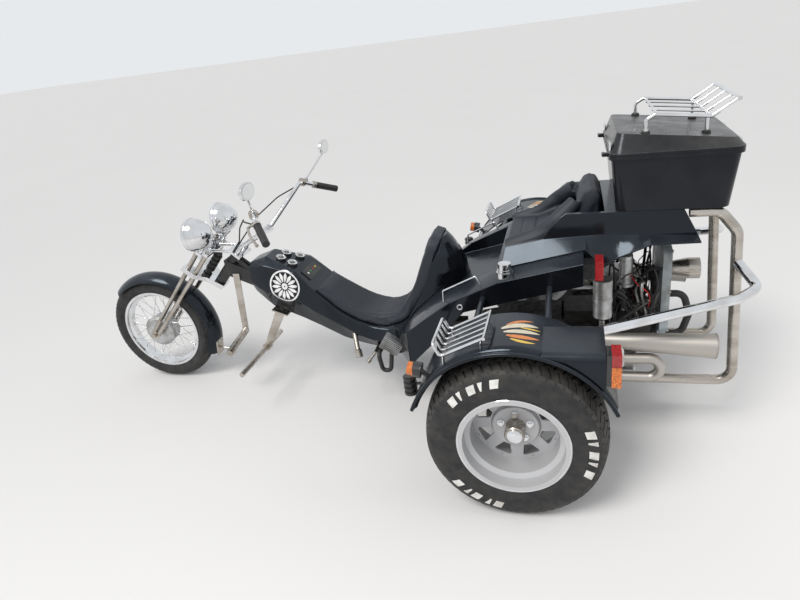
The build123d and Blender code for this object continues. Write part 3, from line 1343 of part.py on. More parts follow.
def gear_levers():
    """Two short levers on the body's left side: a rubber knob and a bright end."""
    lever = rod((862, 128, 380), (826, 208, 312), 12) - Pos(0, FIT_GAP, 0) * nose_outer()
    gear = lever.solids().sort_by(SortBy.VOLUME)[-1] + rod((828, 206, 314), (817, 220, 278), 19)
    lever = rod((742, 120, 292), (746, 186, 284), 10) - Pos(0, FIT_GAP, 0) * nose_outer()
    catch = lever.solids().sort_by(SortBy.VOLUME)[-1] + rod((746, 180, 284), (771, 222, 259), 7)
    catch += rod((767, 215, 263), (776, 230, 254), 11)
    return [gear, catch]


def regulator():
    """Finned rectifier box on the tub's front left flank."""
    length, height, deep, fins = 100, 66, 40, 7
    case = Box(length, deep, height)
    for index in range(fins):
        z = -height / 2 + 3 + (height - 6) * index / (fins - 1)
        case += Pos(0, deep / 2 + 7, z) * Box(length, 16, 3.5)
    placed = Pos(635, 222, 362) * Rot(0, -33, 0) * case
    body = nose_outer() + tub_outer()
    return (placed - Pos(0, FIT_GAP, 0) * body - Pos(FIT_GAP, FIT_GAP, 0) * body).solids().sort_by(SortBy.VOLUME)[-1]


def drain_hose():
    """Black hose that hangs in a loop under the body's left side."""
    x = 716
    hose = pipe([(x, 118, 296), (x, 222, 300), (704, 222, 208), (662, 222, 208), (652, 204, 296)], 11, [30, 22, 20])
    return (hose - Pos(0, FIT_GAP, 0) * nose_outer()).solids().sort_by(SortBy.VOLUME)[-1]


# Hoses and leads in the engine bay: route, radius, bend radii
HOSES = (
    (((FAN_X[0] - FIT_GAP, 90, 560), (-665, 90, 560), (-692, 96, 466), (-665, 100, 372),
      (FAN_X[0] - FIT_GAP, 100, 372)), 15, (40, 60, 40)),
    (((-424, 124.7, 704), (-424, 70, 704), (-446, -30, 745), (-520, -60, 745), (FAN_X[1] + FIT_GAP, -60, 745)), 9,
     (40, 50, 60)),
    (((-326, 261.7, 610), (-326, 205, 610), (-370, 118, 622), (-370, 62.3, 622)), 8, (50, 50)),
    (((-478, 60, CRANKCASE_Z[1] + FIT_GAP), (-478, 60, 540), (-484, 130, 640), (-512, 146, 700),
      (FAN_X[1] + FIT_GAP, 146, 700)), 5, (60, 60, 30)),
)


def engine_hoses():
    """Hoses between the fan housing, the canisters and the carburettor."""
    return [pipe(route, radius, list(bends)) for route, radius, bends in HOSES]


def build_nodes():
    """All pieces by name, still in the vehicle's own layout."""
    nodes = {}
    nodes["main_frame"] = main_frame()
    nodes["rear_axle"] = rear_axle()
    nodes["crankcase"] = crankcase()
    bank, head = cylinder_bank(), cylinder_head()
    nodes["cylinders"] = both(bank)
    nodes["cylinder_heads"] = both(head)
    nodes["fan_housing"] = fan_housing()
    nodes["air_horn"] = air_horn()
    nodes["carburettor"] = carburettor()
    nodes["canisters"] = [oil_canister(), side_canister()]
    nodes["engine_hoses"] = engine_hoses()
    nodes["crank_pulley"] = crank_pulley()
    nodes["exhausts"] = both(exhaust())
    nodes["body_nose"] = body_nose()
    nodes["body_tub"] = body_tub()
    nodes["tail_hood"] = tail_hood()
    nodes["seat_shell"] = seat_shell()
    nodes["driver_seat"] = driver_seat()
    nodes["passenger_pads"] = passenger_pads()
    nodes["fuel_filler"] = fuel_filler()
    nodes["shoulder_rails"] = both(shoulder_rail())
    nodes["fenders"] = both(fender())
    nodes["fender_racks"] = both(fender_rack())
    nodes["rear_hoop"] = rear_hoop()
    nodes["side_bars"] = both(side_bar())
    nodes["tail_lamps"] = both(tail_lamp()) + both(round_lamp()) + both(shoulder_lamp())
    nodes["turn_signals"] = both(turn_signal())
    nodes["horns"] = both(horn())
    nodes["regulator"] = regulator()
    nodes["top_case_box"] = top_case_box()
    nodes["top_case_lid"] = top_case_lid()
    nodes["luggage_rack"] = luggage_rack()
    nodes["instruments"] = gauges() + [lamp_panel()]
    nodes["foot_controls"] = list(foot_controls()) + gear_levers()
    nodes["drain_hose"] = drain_hose()
    nodes["fork_legs"] = fork_legs() + fork_ends()
    nodes["front_axle"] = front_axle()
    nodes["brake_plate"] = brake_plate()
    nodes["yokes"] = [lower_yoke(), upper_yoke()]
    nodes["fork_spring"] = fork_spring()
    nodes["risers"] = risers()
    nodes["handlebar"] = handlebar()
    nodes["grips"] = grips()
    nodes["levers"] = levers()
    nodes["control_cables"] = control_cables()
    nodes["mirrors"] = mirrors()
    nodes["headlights"] = headlights()
    nodes["front_fender"] = front_fender()
    nodes["front_rim"] = front_rim()
    nodes["front_spokes"] = front_spokes()
    nodes["front_hub"] = front_hub()
    nodes["front_tyre"] = front_tyre()
    nodes["rear_rim_left"], nodes["rear_rim_right"] = both(rear_rim())
    nodes["rear_hub_left"], nodes["rear_hub_right"] = both(rear_hub())
    nodes["rear_tyre_left"], nodes["rear_tyre_right"] = rear_tyre(1), rear_tyre(-1)
    return nodes


def main():
    nodes = build_nodes()
    boxes = []
    for shape in nodes.values():
        for solid in shape if isinstance(shape, list) else [shape]:
            boxes.append(solid.bounding_box())
    low = min(box.min.X for box in boxes)
    high = max(box.max.X for box in boxes)
    shift = -(low + high) / 2
    print("axle x after the shift:", round(shift, 3))
    os.makedirs("parts", exist_ok=True)
    for name, shape in nodes.items():
        solids = []
        for item in shape if isinstance(shape, list) else [shape]:
            solids.extend(item.solids())
        moved = [Pos(shift, 0, 0) * solid for solid in solids]
        export_step(Compound(children=moved) if len(moved) > 1 else moved[0], f"parts/{name}.step")


main()
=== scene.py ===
"""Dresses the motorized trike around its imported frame.

It adds the finishes, soft pads, tyres, trim and wiring, and sets up the light and the camera.
"""
import json
import logging
import math
import random
from collections.abc import Callable, Sequence
from dataclasses import dataclass
from enum import Enum

import bmesh
import bpy
from mathutils import Matrix, Vector
from mathutils.bvhtree import BVHTree


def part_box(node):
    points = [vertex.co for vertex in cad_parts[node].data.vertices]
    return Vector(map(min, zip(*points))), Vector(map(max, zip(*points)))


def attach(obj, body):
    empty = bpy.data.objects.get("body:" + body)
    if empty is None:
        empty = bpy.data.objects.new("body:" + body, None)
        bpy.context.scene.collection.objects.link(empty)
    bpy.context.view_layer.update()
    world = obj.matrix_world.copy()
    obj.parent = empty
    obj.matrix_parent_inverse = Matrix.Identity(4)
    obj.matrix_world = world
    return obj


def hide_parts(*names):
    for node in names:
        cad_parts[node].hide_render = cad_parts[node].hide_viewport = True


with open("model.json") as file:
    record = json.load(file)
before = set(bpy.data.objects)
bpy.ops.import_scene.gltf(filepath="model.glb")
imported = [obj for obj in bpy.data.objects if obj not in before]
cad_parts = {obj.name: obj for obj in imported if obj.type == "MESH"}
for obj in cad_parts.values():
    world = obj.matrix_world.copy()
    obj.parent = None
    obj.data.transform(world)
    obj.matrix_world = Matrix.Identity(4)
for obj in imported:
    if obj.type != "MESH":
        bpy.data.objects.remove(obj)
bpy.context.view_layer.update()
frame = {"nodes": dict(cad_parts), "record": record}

Rgb = tuple[float, float, float]
Xyz = tuple[float, float, float]
Span = tuple[float, float]
Profile = Sequence[Span]
Shape = bmesh.types.BMesh
Socket = bpy.types.NodeSocket

UP = Vector((0, 0, 1))
BACK = Vector((-1, 0, 0))
AHEAD = Vector((1, 0, 0))
MERGE_CAD = 0.00001
MERGE_SPUN = 0.00003
LEAST_RADIUS = 0.00001
LEAST_MOVE = 0.000001
STUB_DEPTH = 1.4
STUB_LIFT = 0.3

log = logging.getLogger("trike")


class Body(Enum):
    """The bodies that pieces ride on."""

    CHASSIS = "chassis"
    STEERING = "steering"
    FRONT_WHEEL = "front_wheel"
    REAR_LEFT = "rear_wheel_left"
    REAR_RIGHT = "rear_wheel_right"
    LID = "case_lid"


class Graph:
    """One material's node tree, with short calls for the nodes that the finishes share."""

    def __init__(self, name: str) -> None:
        """Starts a material with its shader and Object coordinates.

        Args:
            name: the material's name.
        """
        self.material = bpy.data.materials.new(name)
        self.material.use_nodes = True
        self.tree = self.material.node_tree
        self.shader = self.tree.nodes["Principled BSDF"]
        self.place = self.tree.nodes.new("ShaderNodeTexCoord").outputs["Object"]

    def set(self, **values: float | tuple) -> None:
        """Sets constants on the shader's own sockets; an underscore stands for a space.

        Args:
            values: numbers, or colours of three parts, by the socket's name.
        """
        for key, value in values.items():
            if isinstance(value, tuple) and len(value) == 3:
                value = (*value, 1.0)
            self.shader.inputs[key.replace("_", " ")].default_value = value

    def feed(self, entry: Socket, value: float | tuple | Socket) -> None:
        """Links a socket into an entry of a node, or sets the entry to a constant.

        Args:
            entry: the node's input socket.
            value: a socket or a constant.
        """
        if isinstance(value, Socket):
            self.tree.links.new(value, entry)
        else:
            entry.default_value = value

    def node(self, kind: str, **entries: float | tuple | Socket) -> bpy.types.Node:
        """Adds a node and feeds its entries.

        Args:
            kind: the shader node's type without its prefix.
            entries: constants or sockets by the entry's name, an underscore for a space.

        Returns:
            The node.
        """
        node = self.tree.nodes.new(f"ShaderNode{kind}")
        for key, value in entries.items():
            self.feed(node.inputs[key.replace("_", " ")], value)
        return node

    def link(self, socket: Socket, name: str) -> None:
        """Feeds one of the shader's inputs."""
        self.tree.links.new(socket, self.shader.inputs[name])

    def noise(self, scale: float, detail: float = 4.0, stretch: Xyz = (1, 1, 1)) -> Socket:
        """Adds a noise that may be drawn out along the axes.

        Args:
            scale: its features to the metre.
            detail: its octaves.
            stretch: the scale along each axis.

        Returns:
            The noise, from 0 to 1.
        """
        mapping = self.node("Mapping", Scale=stretch, Vector=self.place)
        return self.node("TexNoise", Scale=scale, Detail=detail,
                         Vector=mapping.outputs["Vector"]).outputs["Fac"]

    def cells(self, scale: float) -> Socket:
        """Adds cells with a ridge round each.

        Args:
            scale: the cells to the metre.

        Returns:
            The distance to the nearest cell's edge.
        """
        node = self.node("TexVoronoi", Scale=scale, Vector=self.place)
        node.feature = "DISTANCE_TO_EDGE"
        return node.outputs["Distance"]

    def axis(self, name: str) -> Socket:
        """Returns one of the Object coordinates."""
        return self.node("SeparateXYZ", Vector=self.place).outputs[name]

    def ranged(self, value: Socket, source: Span, target: Span = (0.0, 1.0)) -> Socket:
        """Carries a value from one range to another and holds it at the ends.

        Args:
            value: the value.
            source: its range.
            target: the new range.

        Returns:
            The new value.
        """
        return self.node("MapRange", From_Min=source[0], From_Max=source[1], To_Min=target[0],
                         To_Max=target[1], Value=value).outputs["Result"]

    def mix(self, factor: Socket, first: Rgb | Socket, second: Rgb | Socket) -> Socket:
        """Mixes two colours.

        Args:
            factor: the second colour's share.
            first: a colour, or a socket that gives one.
            second: the other.

        Returns:
            The mixed colour.
        """
        node = self.node("Mix")
        node.data_type = "RGBA"
        self.feed(node.inputs["Factor"], factor)
        for index, colour in ((6, first), (7, second)):
            self.feed(node.inputs[index], (*colour, 1.0) if isinstance(colour, tuple) else colour)
        return node.outputs[2]

    def math(self, operation: str, first: Socket, second: float | Socket = 0.0) -> Socket:
        """Adds one step of arithmetic.

        Args:
            operation: the name of the step.
            first: the value it starts from.
            second: the value it takes in.

        Returns:
            The outcome.
        """
        node = self.node("Math")
        node.operation = operation
        self.feed(node.inputs[0], first)
        self.feed(node.inputs[1], second)
        return node.outputs[0]

    def bump(self, height: Socket, depth: float) -> None:
        """Raises the surface by a height of that depth in metres."""
        self.link(self.node("Bump", Distance=depth, Height=height).outputs["Normal"], "Normal")

    def facing_up(self, level: Span = (0.25, 0.95)) -> Socket:
        """Tells where the surface looks up.

        Args:
            level: the upward part of its normal at which it starts to, and fully does.

        Returns:
            1 where it looks up, and 0 where it stands or looks down.
        """
        geometry = self.node("NewGeometry")
        split = self.node("SeparateXYZ", Vector=geometry.outputs["Normal"])
        return self.ranged(split.outputs["Z"], level)


@dataclass(frozen=True)
class Surface:
    """A finish whose colour and gloss drift over the piece, as on used paint, metal and rubber.

    patch and grain are features to the metre, and relief is the grain's height in metres. The dust
    weight is how much of the dust colour lies on what faces up: real dust, and on the body paint,
    whose dust colour is bluish, a painted reflection of the sky as well. heat is the stretch of x
    in metres from the rear axle over which hot metal takes its tint, and heat_top the height that
    it stays under. The ranges are the parts of the noise over which each look changes, and octaves
    the noise's detail in colour, gloss and grain.
    """

    name: str
    colour: Rgb
    worn: Rgb
    gloss: Span
    metallic: float = 0.0
    patch: float = 9.0
    grain: float = 700.0
    relief: float = 0.00005
    coat: float = 0.0
    stretch: Xyz = (1, 1, 1)
    dust_and_sky_sheen: float = 0.0
    dust_and_sky_sheen_colour: Rgb = (0.2, 0.19, 0.17)
    heat: Span | None = None
    heat_top: float = 0.435
    heat_colour: Rgb = (0.86, 0.6, 0.26)
    shine: float = 0.5
    shine_tint: Rgb = (1.0, 1.0, 1.0)
    coat_roughness: float = 0.03
    octaves: Xyz = (6.0, 5.0, 3.0)
    worn_range: Span = (0.38, 0.68)
    gloss_range: Span = (0.3, 0.75)
    gloss_patch: float = 2.7
    heat_range: Span = (0.3, 0.6)
    heat_share: Span = (0.35, 1.0)
    heat_edge: float = 0.01
    dust_and_sky_sheen_range: Span = (0.3, 0.7)
    dust_and_sky_sheen_share: Span = (0.2, 1.0)
    dust_roughness: float = 0.7

    def material(self) -> bpy.types.Material:
        """Builds the finish's node tree, the first time it is asked for.

        Returns:
            The material.
        """
        known = bpy.data.materials.get(self.name)
        if known:
            return known
        graph = Graph(self.name)
        graph.set(Metallic=self.metallic, Coat_Weight=self.coat,
                  Coat_Roughness=self.coat_roughness)
        graph.set(Specular_IOR_Level=self.shine, Specular_Tint=self.shine_tint)
        patch_octaves, gloss_octaves, grain_octaves = self.octaves
        drift = graph.noise(self.patch, patch_octaves, self.stretch)
        colour = graph.mix(graph.ranged(drift, self.worn_range), self.colour, self.worn)
        gleam = graph.noise(self.patch * self.gloss_patch, gloss_octaves, self.stretch)
        rough = graph.ranged(gleam, self.gloss_range, self.gloss)
        if self.heat:
            near, far = (AXLE_X + part for part in self.heat)
            tint = graph.math("MULTIPLY", graph.ranged(graph.axis("X"), (near, far)),
                              graph.ranged(drift, self.heat_range, self.heat_share))
            under = (self.heat_top + self.heat_edge, self.heat_top)
            tint = graph.math("MULTIPLY", tint, graph.ranged(graph.axis("Z"), under))
            colour = graph.mix(tint, colour, self.heat_colour)
        # What faces up takes the dust colour: real dust, and on the body paint, where that colour
        # is bluish, a painted reflection of the sky as well.
        if self.dust_and_sky_sheen:
            dust_and_sky_sheen_mask = graph.math("MULTIPLY", graph.facing_up(),
                               graph.ranged(drift, self.dust_and_sky_sheen_range, self.dust_and_sky_sheen_share))
            dust_and_sky_sheen_mask = graph.math("MULTIPLY", dust_and_sky_sheen_mask, self.dust_and_sky_sheen)
            colour = graph.mix(dust_and_sky_sheen_mask, colour, self.dust_and_sky_sheen_colour)
            rough = graph.math("ADD", rough, graph.math("MULTIPLY", dust_and_sky_sheen_mask, self.dust_roughness))
        graph.link(colour, "Base Color")
        graph.link(rough, "Roughness")
        graph.bump(graph.noise(self.grain, grain_octaves, self.stretch), self.relief)
        return graph.material


@dataclass(frozen=True)
class LensGlass:
    """A coloured lamp lens, ribbed inside with painted shade along the ribs' edges, over a bright
    reflector.

    With a low_colour it is the tail lamps' lens: low_colour takes over under the height split and
    outside low_y, and clear on the round lamp inside clear_y and under clear_z. The black housing
    starts at wall, from the axle, ahead of the lens or, with wall_behind, behind it, and on the
    shoulder lamps, inside shoulder_y, shoulder_step further forward. All are in metres, and a pair
    is the stretch over which one look turns into the other.
    """

    name: str
    colour: Rgb
    ribs: float = 170.0
    low_colour: Rgb | None = None
    split: float = 0.0
    clear: Rgb = (0.72, 0.7, 0.64)
    wall: float = 0.0
    wall_behind: bool = False
    wall_colour: Rgb = (0.012, 0.012, 0.012)
    low_y: Span = (0.812, 0.814)
    split_edge: float = 0.002
    clear_y: Span = (0.799, 0.797)
    clear_z: Span = (0.722, 0.72)
    shoulder_y: Span = (0.5, 0.6)
    shoulder_step: float = 0.0365
    wall_edge: float = 0.001
    rib_range: Span = (0.0, 0.3)
    rib_share: Span = (0.35, 1.0)
    rib_height: float = 0.0006
    roughness: float = 0.12
    coat: float = 0.7
    coat_roughness: float = 0.02

    def material(self) -> bpy.types.Material:
        """Builds the lens's node tree, the first time it is asked for.

        Returns:
            The material.
        """
        known = bpy.data.materials.get(self.name)
        if known:
            return known
        graph = Graph(self.name)
        graph.set(Roughness=self.roughness, Coat_Weight=self.coat,
                  Coat_Roughness=self.coat_roughness)
        colour: Rgb | Socket = self.colour
        if self.low_colour:
            out = graph.ranged(graph.math("ABSOLUTE", graph.axis("Y")), self.low_y)
            under = (self.split, self.split - self.split_edge)
            low = graph.math("MULTIPLY", graph.ranged(graph.axis("Z"), under), out)
            colour = graph.mix(low, self.colour, self.low_colour)
            inner = graph.ranged(graph.math("ABSOLUTE", graph.axis("Y")), self.clear_y)
            inner = graph.math("MULTIPLY", inner, graph.ranged(graph.axis("Z"), self.clear_z))
            colour = graph.mix(inner, colour, self.clear)
        # The cells' edges are painted dark: painted shade between the lens's ribs, whose bump the
        # same cells raise.
        cells = graph.ranged(graph.cells(self.ribs), self.rib_range, self.rib_share)
        shaded = graph.mix(cells, (0.0, 0.0, 0.0), colour)
        if self.wall:
            inner_wall = self.wall + (self.shoulder_step if self.low_colour else 0.0)
            edge = graph.ranged(graph.math("ABSOLUTE", graph.axis("Y")), self.shoulder_y,
                                (inner_wall, self.wall))
            ahead = graph.math("SUBTRACT", graph.axis("X"), graph.math("ADD", edge, AXLE_X))
            span = (0.0, -self.wall_edge if self.wall_behind else self.wall_edge)
            shaded = graph.mix(graph.ranged(ahead, span), shaded, self.wall_colour)
        graph.link(shaded, "Base Color")
        graph.bump(cells, self.rib_height)
        return graph.material


def middle(node: str) -> Vector:
    """Returns the centre of a node's box."""
    low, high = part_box(node)
    return (low + high) / 2


AXLE_X = middle("rear_tyre_left").x

# The body paint's bluish dust colour on what faces up is partly dust and partly a painted
# reflection of the sky.
PAINT = Surface("panel_paint", (0.004, 0.0045, 0.006), (0.007, 0.0075, 0.0095), (0.06, 0.15),
                patch=5.0, grain=240.0, relief=0.00002, coat=0.08, dust_and_sky_sheen=0.3,
                dust_and_sky_sheen_colour=(0.075, 0.09, 0.11), shine=0.36, shine_tint=(0.72, 0.86, 1.0))
CASE_SHELL = Surface("case_moulding", (0.0055, 0.0055, 0.007), (0.012, 0.012, 0.014),
                     (0.12, 0.26), patch=7.0, grain=500.0, relief=0.00004, dust_and_sky_sheen=0.26,
                     shine=0.32, shine_tint=(0.85, 0.92, 1.0))
FRAME_PAINT = Surface("frame_paint", (0.012, 0.012, 0.013), (0.035, 0.033, 0.03), (0.28, 0.5),
                      dust_and_sky_sheen=0.25)
CHROME = Surface("chrome_plate", (0.8, 0.81, 0.83), (0.66, 0.66, 0.66), (0.04, 0.14), 1.0, 14.0,
                 900.0, 0.00001)
STAINLESS = Surface("stainless_tube", (0.56, 0.525, 0.48), (0.37, 0.33, 0.28), (0.2, 0.36), 1.0,
                    18.0, 500.0, 0.00002, stretch=(0.15, 1, 1))
ALUMINIUM = Surface("dull_aluminium", (0.58, 0.59, 0.6), (0.36, 0.35, 0.33), (0.34, 0.58), 1.0,
                    22.0, 800.0, 0.00006)
CAST = Surface("cast_engine_metal", (0.1, 0.098, 0.094), (0.022, 0.02, 0.018), (0.5, 0.75), 0.5,
               30.0, 420.0, 0.0003)
EXHAUST = Surface("exhaust_steel", (0.62, 0.6, 0.56), (0.44, 0.4, 0.34), (0.2, 0.38), 1.0, 12.0,
                  500.0, 0.00002, heat=(-0.4, -0.5))
TYRE = Surface("tyre_rubber", (0.014, 0.014, 0.015), (0.032, 0.03, 0.028), (0.55, 0.8),
               patch=20.0, grain=900.0, relief=0.0002, dust_and_sky_sheen=0.08)
TREAD = Surface("tread_rubber", (0.03, 0.028, 0.026), (0.065, 0.06, 0.054), (0.7, 0.9),
                patch=24.0, relief=0.0003)
WHITE_RUBBER = Surface("white_rubber", (0.72, 0.71, 0.68), (0.5, 0.48, 0.44), (0.5, 0.7),
                       patch=30.0)
VINYL = Surface("seat_vinyl", (0.006, 0.007, 0.01), (0.013, 0.015, 0.02), (0.2, 0.32),
                patch=12.0, grain=900.0, relief=0.0001, dust_and_sky_sheen=0.02, shine=0.36,
                shine_tint=(0.8, 0.88, 1.0))
PLASTIC = Surface("black_moulding", (0.014, 0.014, 0.015), (0.03, 0.03, 0.03), (0.3, 0.5),
                  grain=1200.0, relief=0.0001, dust_and_sky_sheen=0.15)
RUBBER = Surface("black_rubber", (0.012, 0.012, 0.012), (0.026, 0.025, 0.024), (0.42, 0.66),
                 grain=800.0, relief=0.0001)
WHEEL_SILVER = Surface("wheel_silver", (0.56, 0.57, 0.58), (0.4, 0.4, 0.4), (0.22, 0.36), 0.95,
                       16.0, 700.0, 0.00003)
FAN_GREY = Surface("fan_housing_grey", (0.44, 0.5, 0.53), (0.24, 0.25, 0.25), (0.36, 0.56), 0.35,
                   14.0)
ENGINE_BLACK = Surface("engine_black", (0.02, 0.019, 0.018), (0.045, 0.042, 0.038), (0.45, 0.7),
                       0.2, 30.0, 420.0, 0.0003)
MIRROR_GLASS = Surface("mirror_glass", (0.86, 0.87, 0.88), (0.82, 0.83, 0.84), (0.02, 0.05), 1.0,
                       6.0, 300.0, 0.000002)
LAMP_GLASS = Surface("lamp_glass", (0.62, 0.65, 0.68), (0.5, 0.53, 0.56), (0.06, 0.12), 0.75,
                     20.0, 200.0, 0.0003, coat=1.0)
DIAL_WHITE = Surface("dial_white", (0.82, 0.82, 0.8), (0.7, 0.7, 0.68), (0.3, 0.5), patch=60.0)
DIAL_BLACK = Surface("dial_black", (0.01, 0.01, 0.011), (0.02, 0.02, 0.02), (0.1, 0.2),
                     patch=60.0, coat=0.8)
EMBLEM_WHITE = Surface("emblem_white", (0.78, 0.78, 0.77), (0.6, 0.6, 0.6), (0.25, 0.4),
                       patch=40.0, coat=0.3)
CREAM = Surface("flourish_cream", (0.62, 0.56, 0.42), (0.5, 0.45, 0.34), (0.2, 0.35), patch=40.0,
                coat=0.4)
ORANGE = Surface("flourish_orange", (0.62, 0.2, 0.035), (0.5, 0.15, 0.03), (0.2, 0.35),
                 patch=40.0, coat=0.4)
YELLOW = Surface("flourish_yellow", (0.68, 0.46, 0.06), (0.56, 0.36, 0.05), (0.2, 0.35),
                 patch=40.0, coat=0.4)
RED_CAP = Surface("red_cap", (0.42, 0.02, 0.015), (0.3, 0.015, 0.012), (0.3, 0.5), patch=40.0)
GREEN_LAMP = Surface("green_lamp", (0.02, 0.3, 0.05), (0.02, 0.22, 0.04), (0.1, 0.2), patch=60.0,
                     coat=0.8)
TAIL_LENS = LensGlass("tail_lens", (0.5, 0.01, 0.014), low_colour=(0.9, 0.22, 0.02), split=0.678,
                      wall=-0.3285)
AMBER_LENS = LensGlass("amber_lens", (0.9, 0.22, 0.02), wall=0.362, wall_behind=True)
RED_LENS = LensGlass("red_lens", (0.5, 0.01, 0.014))

SLOT_FINISH = {
    "black_gloss": PAINT, "frame_black": FRAME_PAINT, "chrome": CHROME, "steel": STAINLESS,
    "aluminium": ALUMINIUM, "cast_grey": CAST, "exhaust_steel": EXHAUST, "tyre": TYRE,
    "seat_vinyl": VINYL, "black_plastic": PLASTIC, "rubber": RUBBER, "lamp_red": TAIL_LENS,
    "lamp_amber": AMBER_LENS, "wheel_silver": WHEEL_SILVER,
}
NODE_FINISH = {
    "fan_housing": FAN_GREY, "rear_hoop": STAINLESS, "side_bars": CHROME, "front_spokes": CHROME,
    "air_horn": STAINLESS, "crankcase": ENGINE_BLACK, "carburettor": ALUMINIUM,
    "crank_pulley": ENGINE_BLACK,
}


def at(x: float, y: float, z: float) -> Vector:
    """Returns a place given in mm from the rear axle, the middle plane and the ground."""
    return Vector((AXLE_X + x / 1000, y / 1000, z / 1000))


def shown(name: str, data: bpy.types.ID) -> bpy.types.Object:
    """Puts a new object into the scene.

    Args:
        name: its name.
        data: its mesh, curve, light or camera.

    Returns:
        The object.
    """
    thing = bpy.data.objects.new(name, data)
    bpy.context.scene.collection.objects.link(thing)
    return thing


def finished(name: str, shape: Shape, finish: Surface | LensGlass, body: Body,
             crease: float = 38.0, replaces: tuple[str, ...] = ()) -> bpy.types.Object:
    """Turns a shape into a piece with its finish and its body.

    Args:
        name: the piece's name.
        shape: the mesh under way, freed here.
        finish: the finish.
        body: the body that it rides on.
        crease: the angle in degrees past which an edge stays sharp.
        replaces: the CAD nodes that it stands for.

    Returns:
        The piece.
    """
    limit = math.radians(crease)
    for edge in shape.edges:
        edge.smooth = edge.is_manifold and edge.calc_face_angle(0.0) < limit
    for face in shape.faces:
        face.smooth = True
    mesh = bpy.data.meshes.new(name)
    shape.to_mesh(mesh)
    shape.free()
    mesh.materials.append(finish.material())
    piece = shown(name, mesh)
    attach(piece, body.value)
    if replaces:
        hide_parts(*replaces)
    log.info("%s: %d faces on %s", name, len(mesh.polygons), body.value)
    return piece


def spun(shape: Shape, profile: Profile, centre: Vector, axis: Vector, steps: int) -> None:
    """Spins a profile into a closed ring or cap.

    Args:
        shape: the mesh that takes it.
        profile: rows of the way along the axis and the radius, in metres.
        centre: the zero of the way along the axis.
        axis: the direction of the axis.
        steps: how many steps a full turn has.
    """
    axis = axis.normalized()
    across = axis.orthogonal().normalized()
    before = set(shape.verts)
    chain = [shape.verts.new(centre + axis * along + across * max(radius, LEAST_RADIUS))
             for along, radius in profile]
    edges = [shape.edges.new(pair) for pair in zip(chain, chain[1:])]
    bmesh.ops.spin(shape, geom=chain + edges, cent=centre, axis=axis, dvec=(0, 0, 0),
                   angle=math.tau, steps=steps, use_merge=True, use_duplicate=False)
    made = [vert for vert in shape.verts if vert not in before]
    bmesh.ops.remove_doubles(shape, verts=made, dist=MERGE_SPUN)
    made = [vert for vert in shape.verts if vert.is_valid and vert not in before]
    bmesh.ops.recalc_face_normals(shape, faces=faces_of(made))


def faces_of(verts: list) -> list:
    """Returns the faces that meet some vertices, each of them once."""
    return list(dict.fromkeys(face for vert in verts for face in vert.link_faces))


def edges_of(verts: list) -> list:
    """Returns the edges that meet some vertices, each of them once."""
    return list(dict.fromkeys(edge for vert in verts for edge in vert.link_edges))


def aimed(place: Vector, normal: Vector) -> Matrix:
    """Returns the matrix that stands a piece's Z on a normal at a place."""
    return Matrix.Translation(place) @ normal.to_track_quat("Z", "Y").to_matrix().to_4x4()


def stub(shape: Shape, place: Vector, normal: Vector, radius: float, height: float,
         sides: int = 6, top: float = 0.9) -> None:
    """Stands a bolt head, nut or boss on a surface, sunk a little into it.

    Args:
        shape: the mesh that takes it.
        place: the point on the surface.
        normal: the way it stands.
        radius: its radius at the foot, in metres.
        height: how far it stands proud, in metres.
        sides: how many sides it has.
        top: the share of the radius that its top has.
    """
    bmesh.ops.create_cone(shape, cap_ends=True, cap_tris=False, segments=sides, radius1=radius,
                          radius2=radius * top, depth=height * STUB_DEPTH,
                          matrix=aimed(place + normal.normalized() * height * STUB_LIFT,
                                       normal))


def bolt(radius: float = 0.006, height: float = 0.005) -> tuple:
    """Returns the sizes of the two stubs of a bolt, its washer and its hexagon head."""
    return (radius * 1.5, height * 0.3, 14, 0.95), (radius, height)


def slab(shape: Shape, low: Vector, high: Vector, round_by: float) -> None:
    """Adds a block between two corners, its edges rounded.

    Args:
        shape: the mesh that takes it.
        low: its lowest corner.
        high: its highest corner.
        round_by: how far the rounding reaches from an edge, in metres.
    """
    turn = Matrix.Translation((low + high) / 2) @ Matrix.Diagonal((*(high - low), 1.0))
    made = bmesh.ops.create_cube(shape, size=1.0, matrix=turn)["verts"]
    bmesh.ops.bevel(shape, geom=edges_of(made), offset=round_by, segments=2, profile=0.5,
                    affect="EDGES", material=-1)


def face_toward(shape: Shape, way: Vector) -> None:
    """Turns every face of a flat shape to look one way.

    Args:
        shape: the flat shape.
        way: the way that its faces end up looking.
    """
    for face in shape.faces:
        if face.normal.dot(way) < 0:
            face.normal_flip()


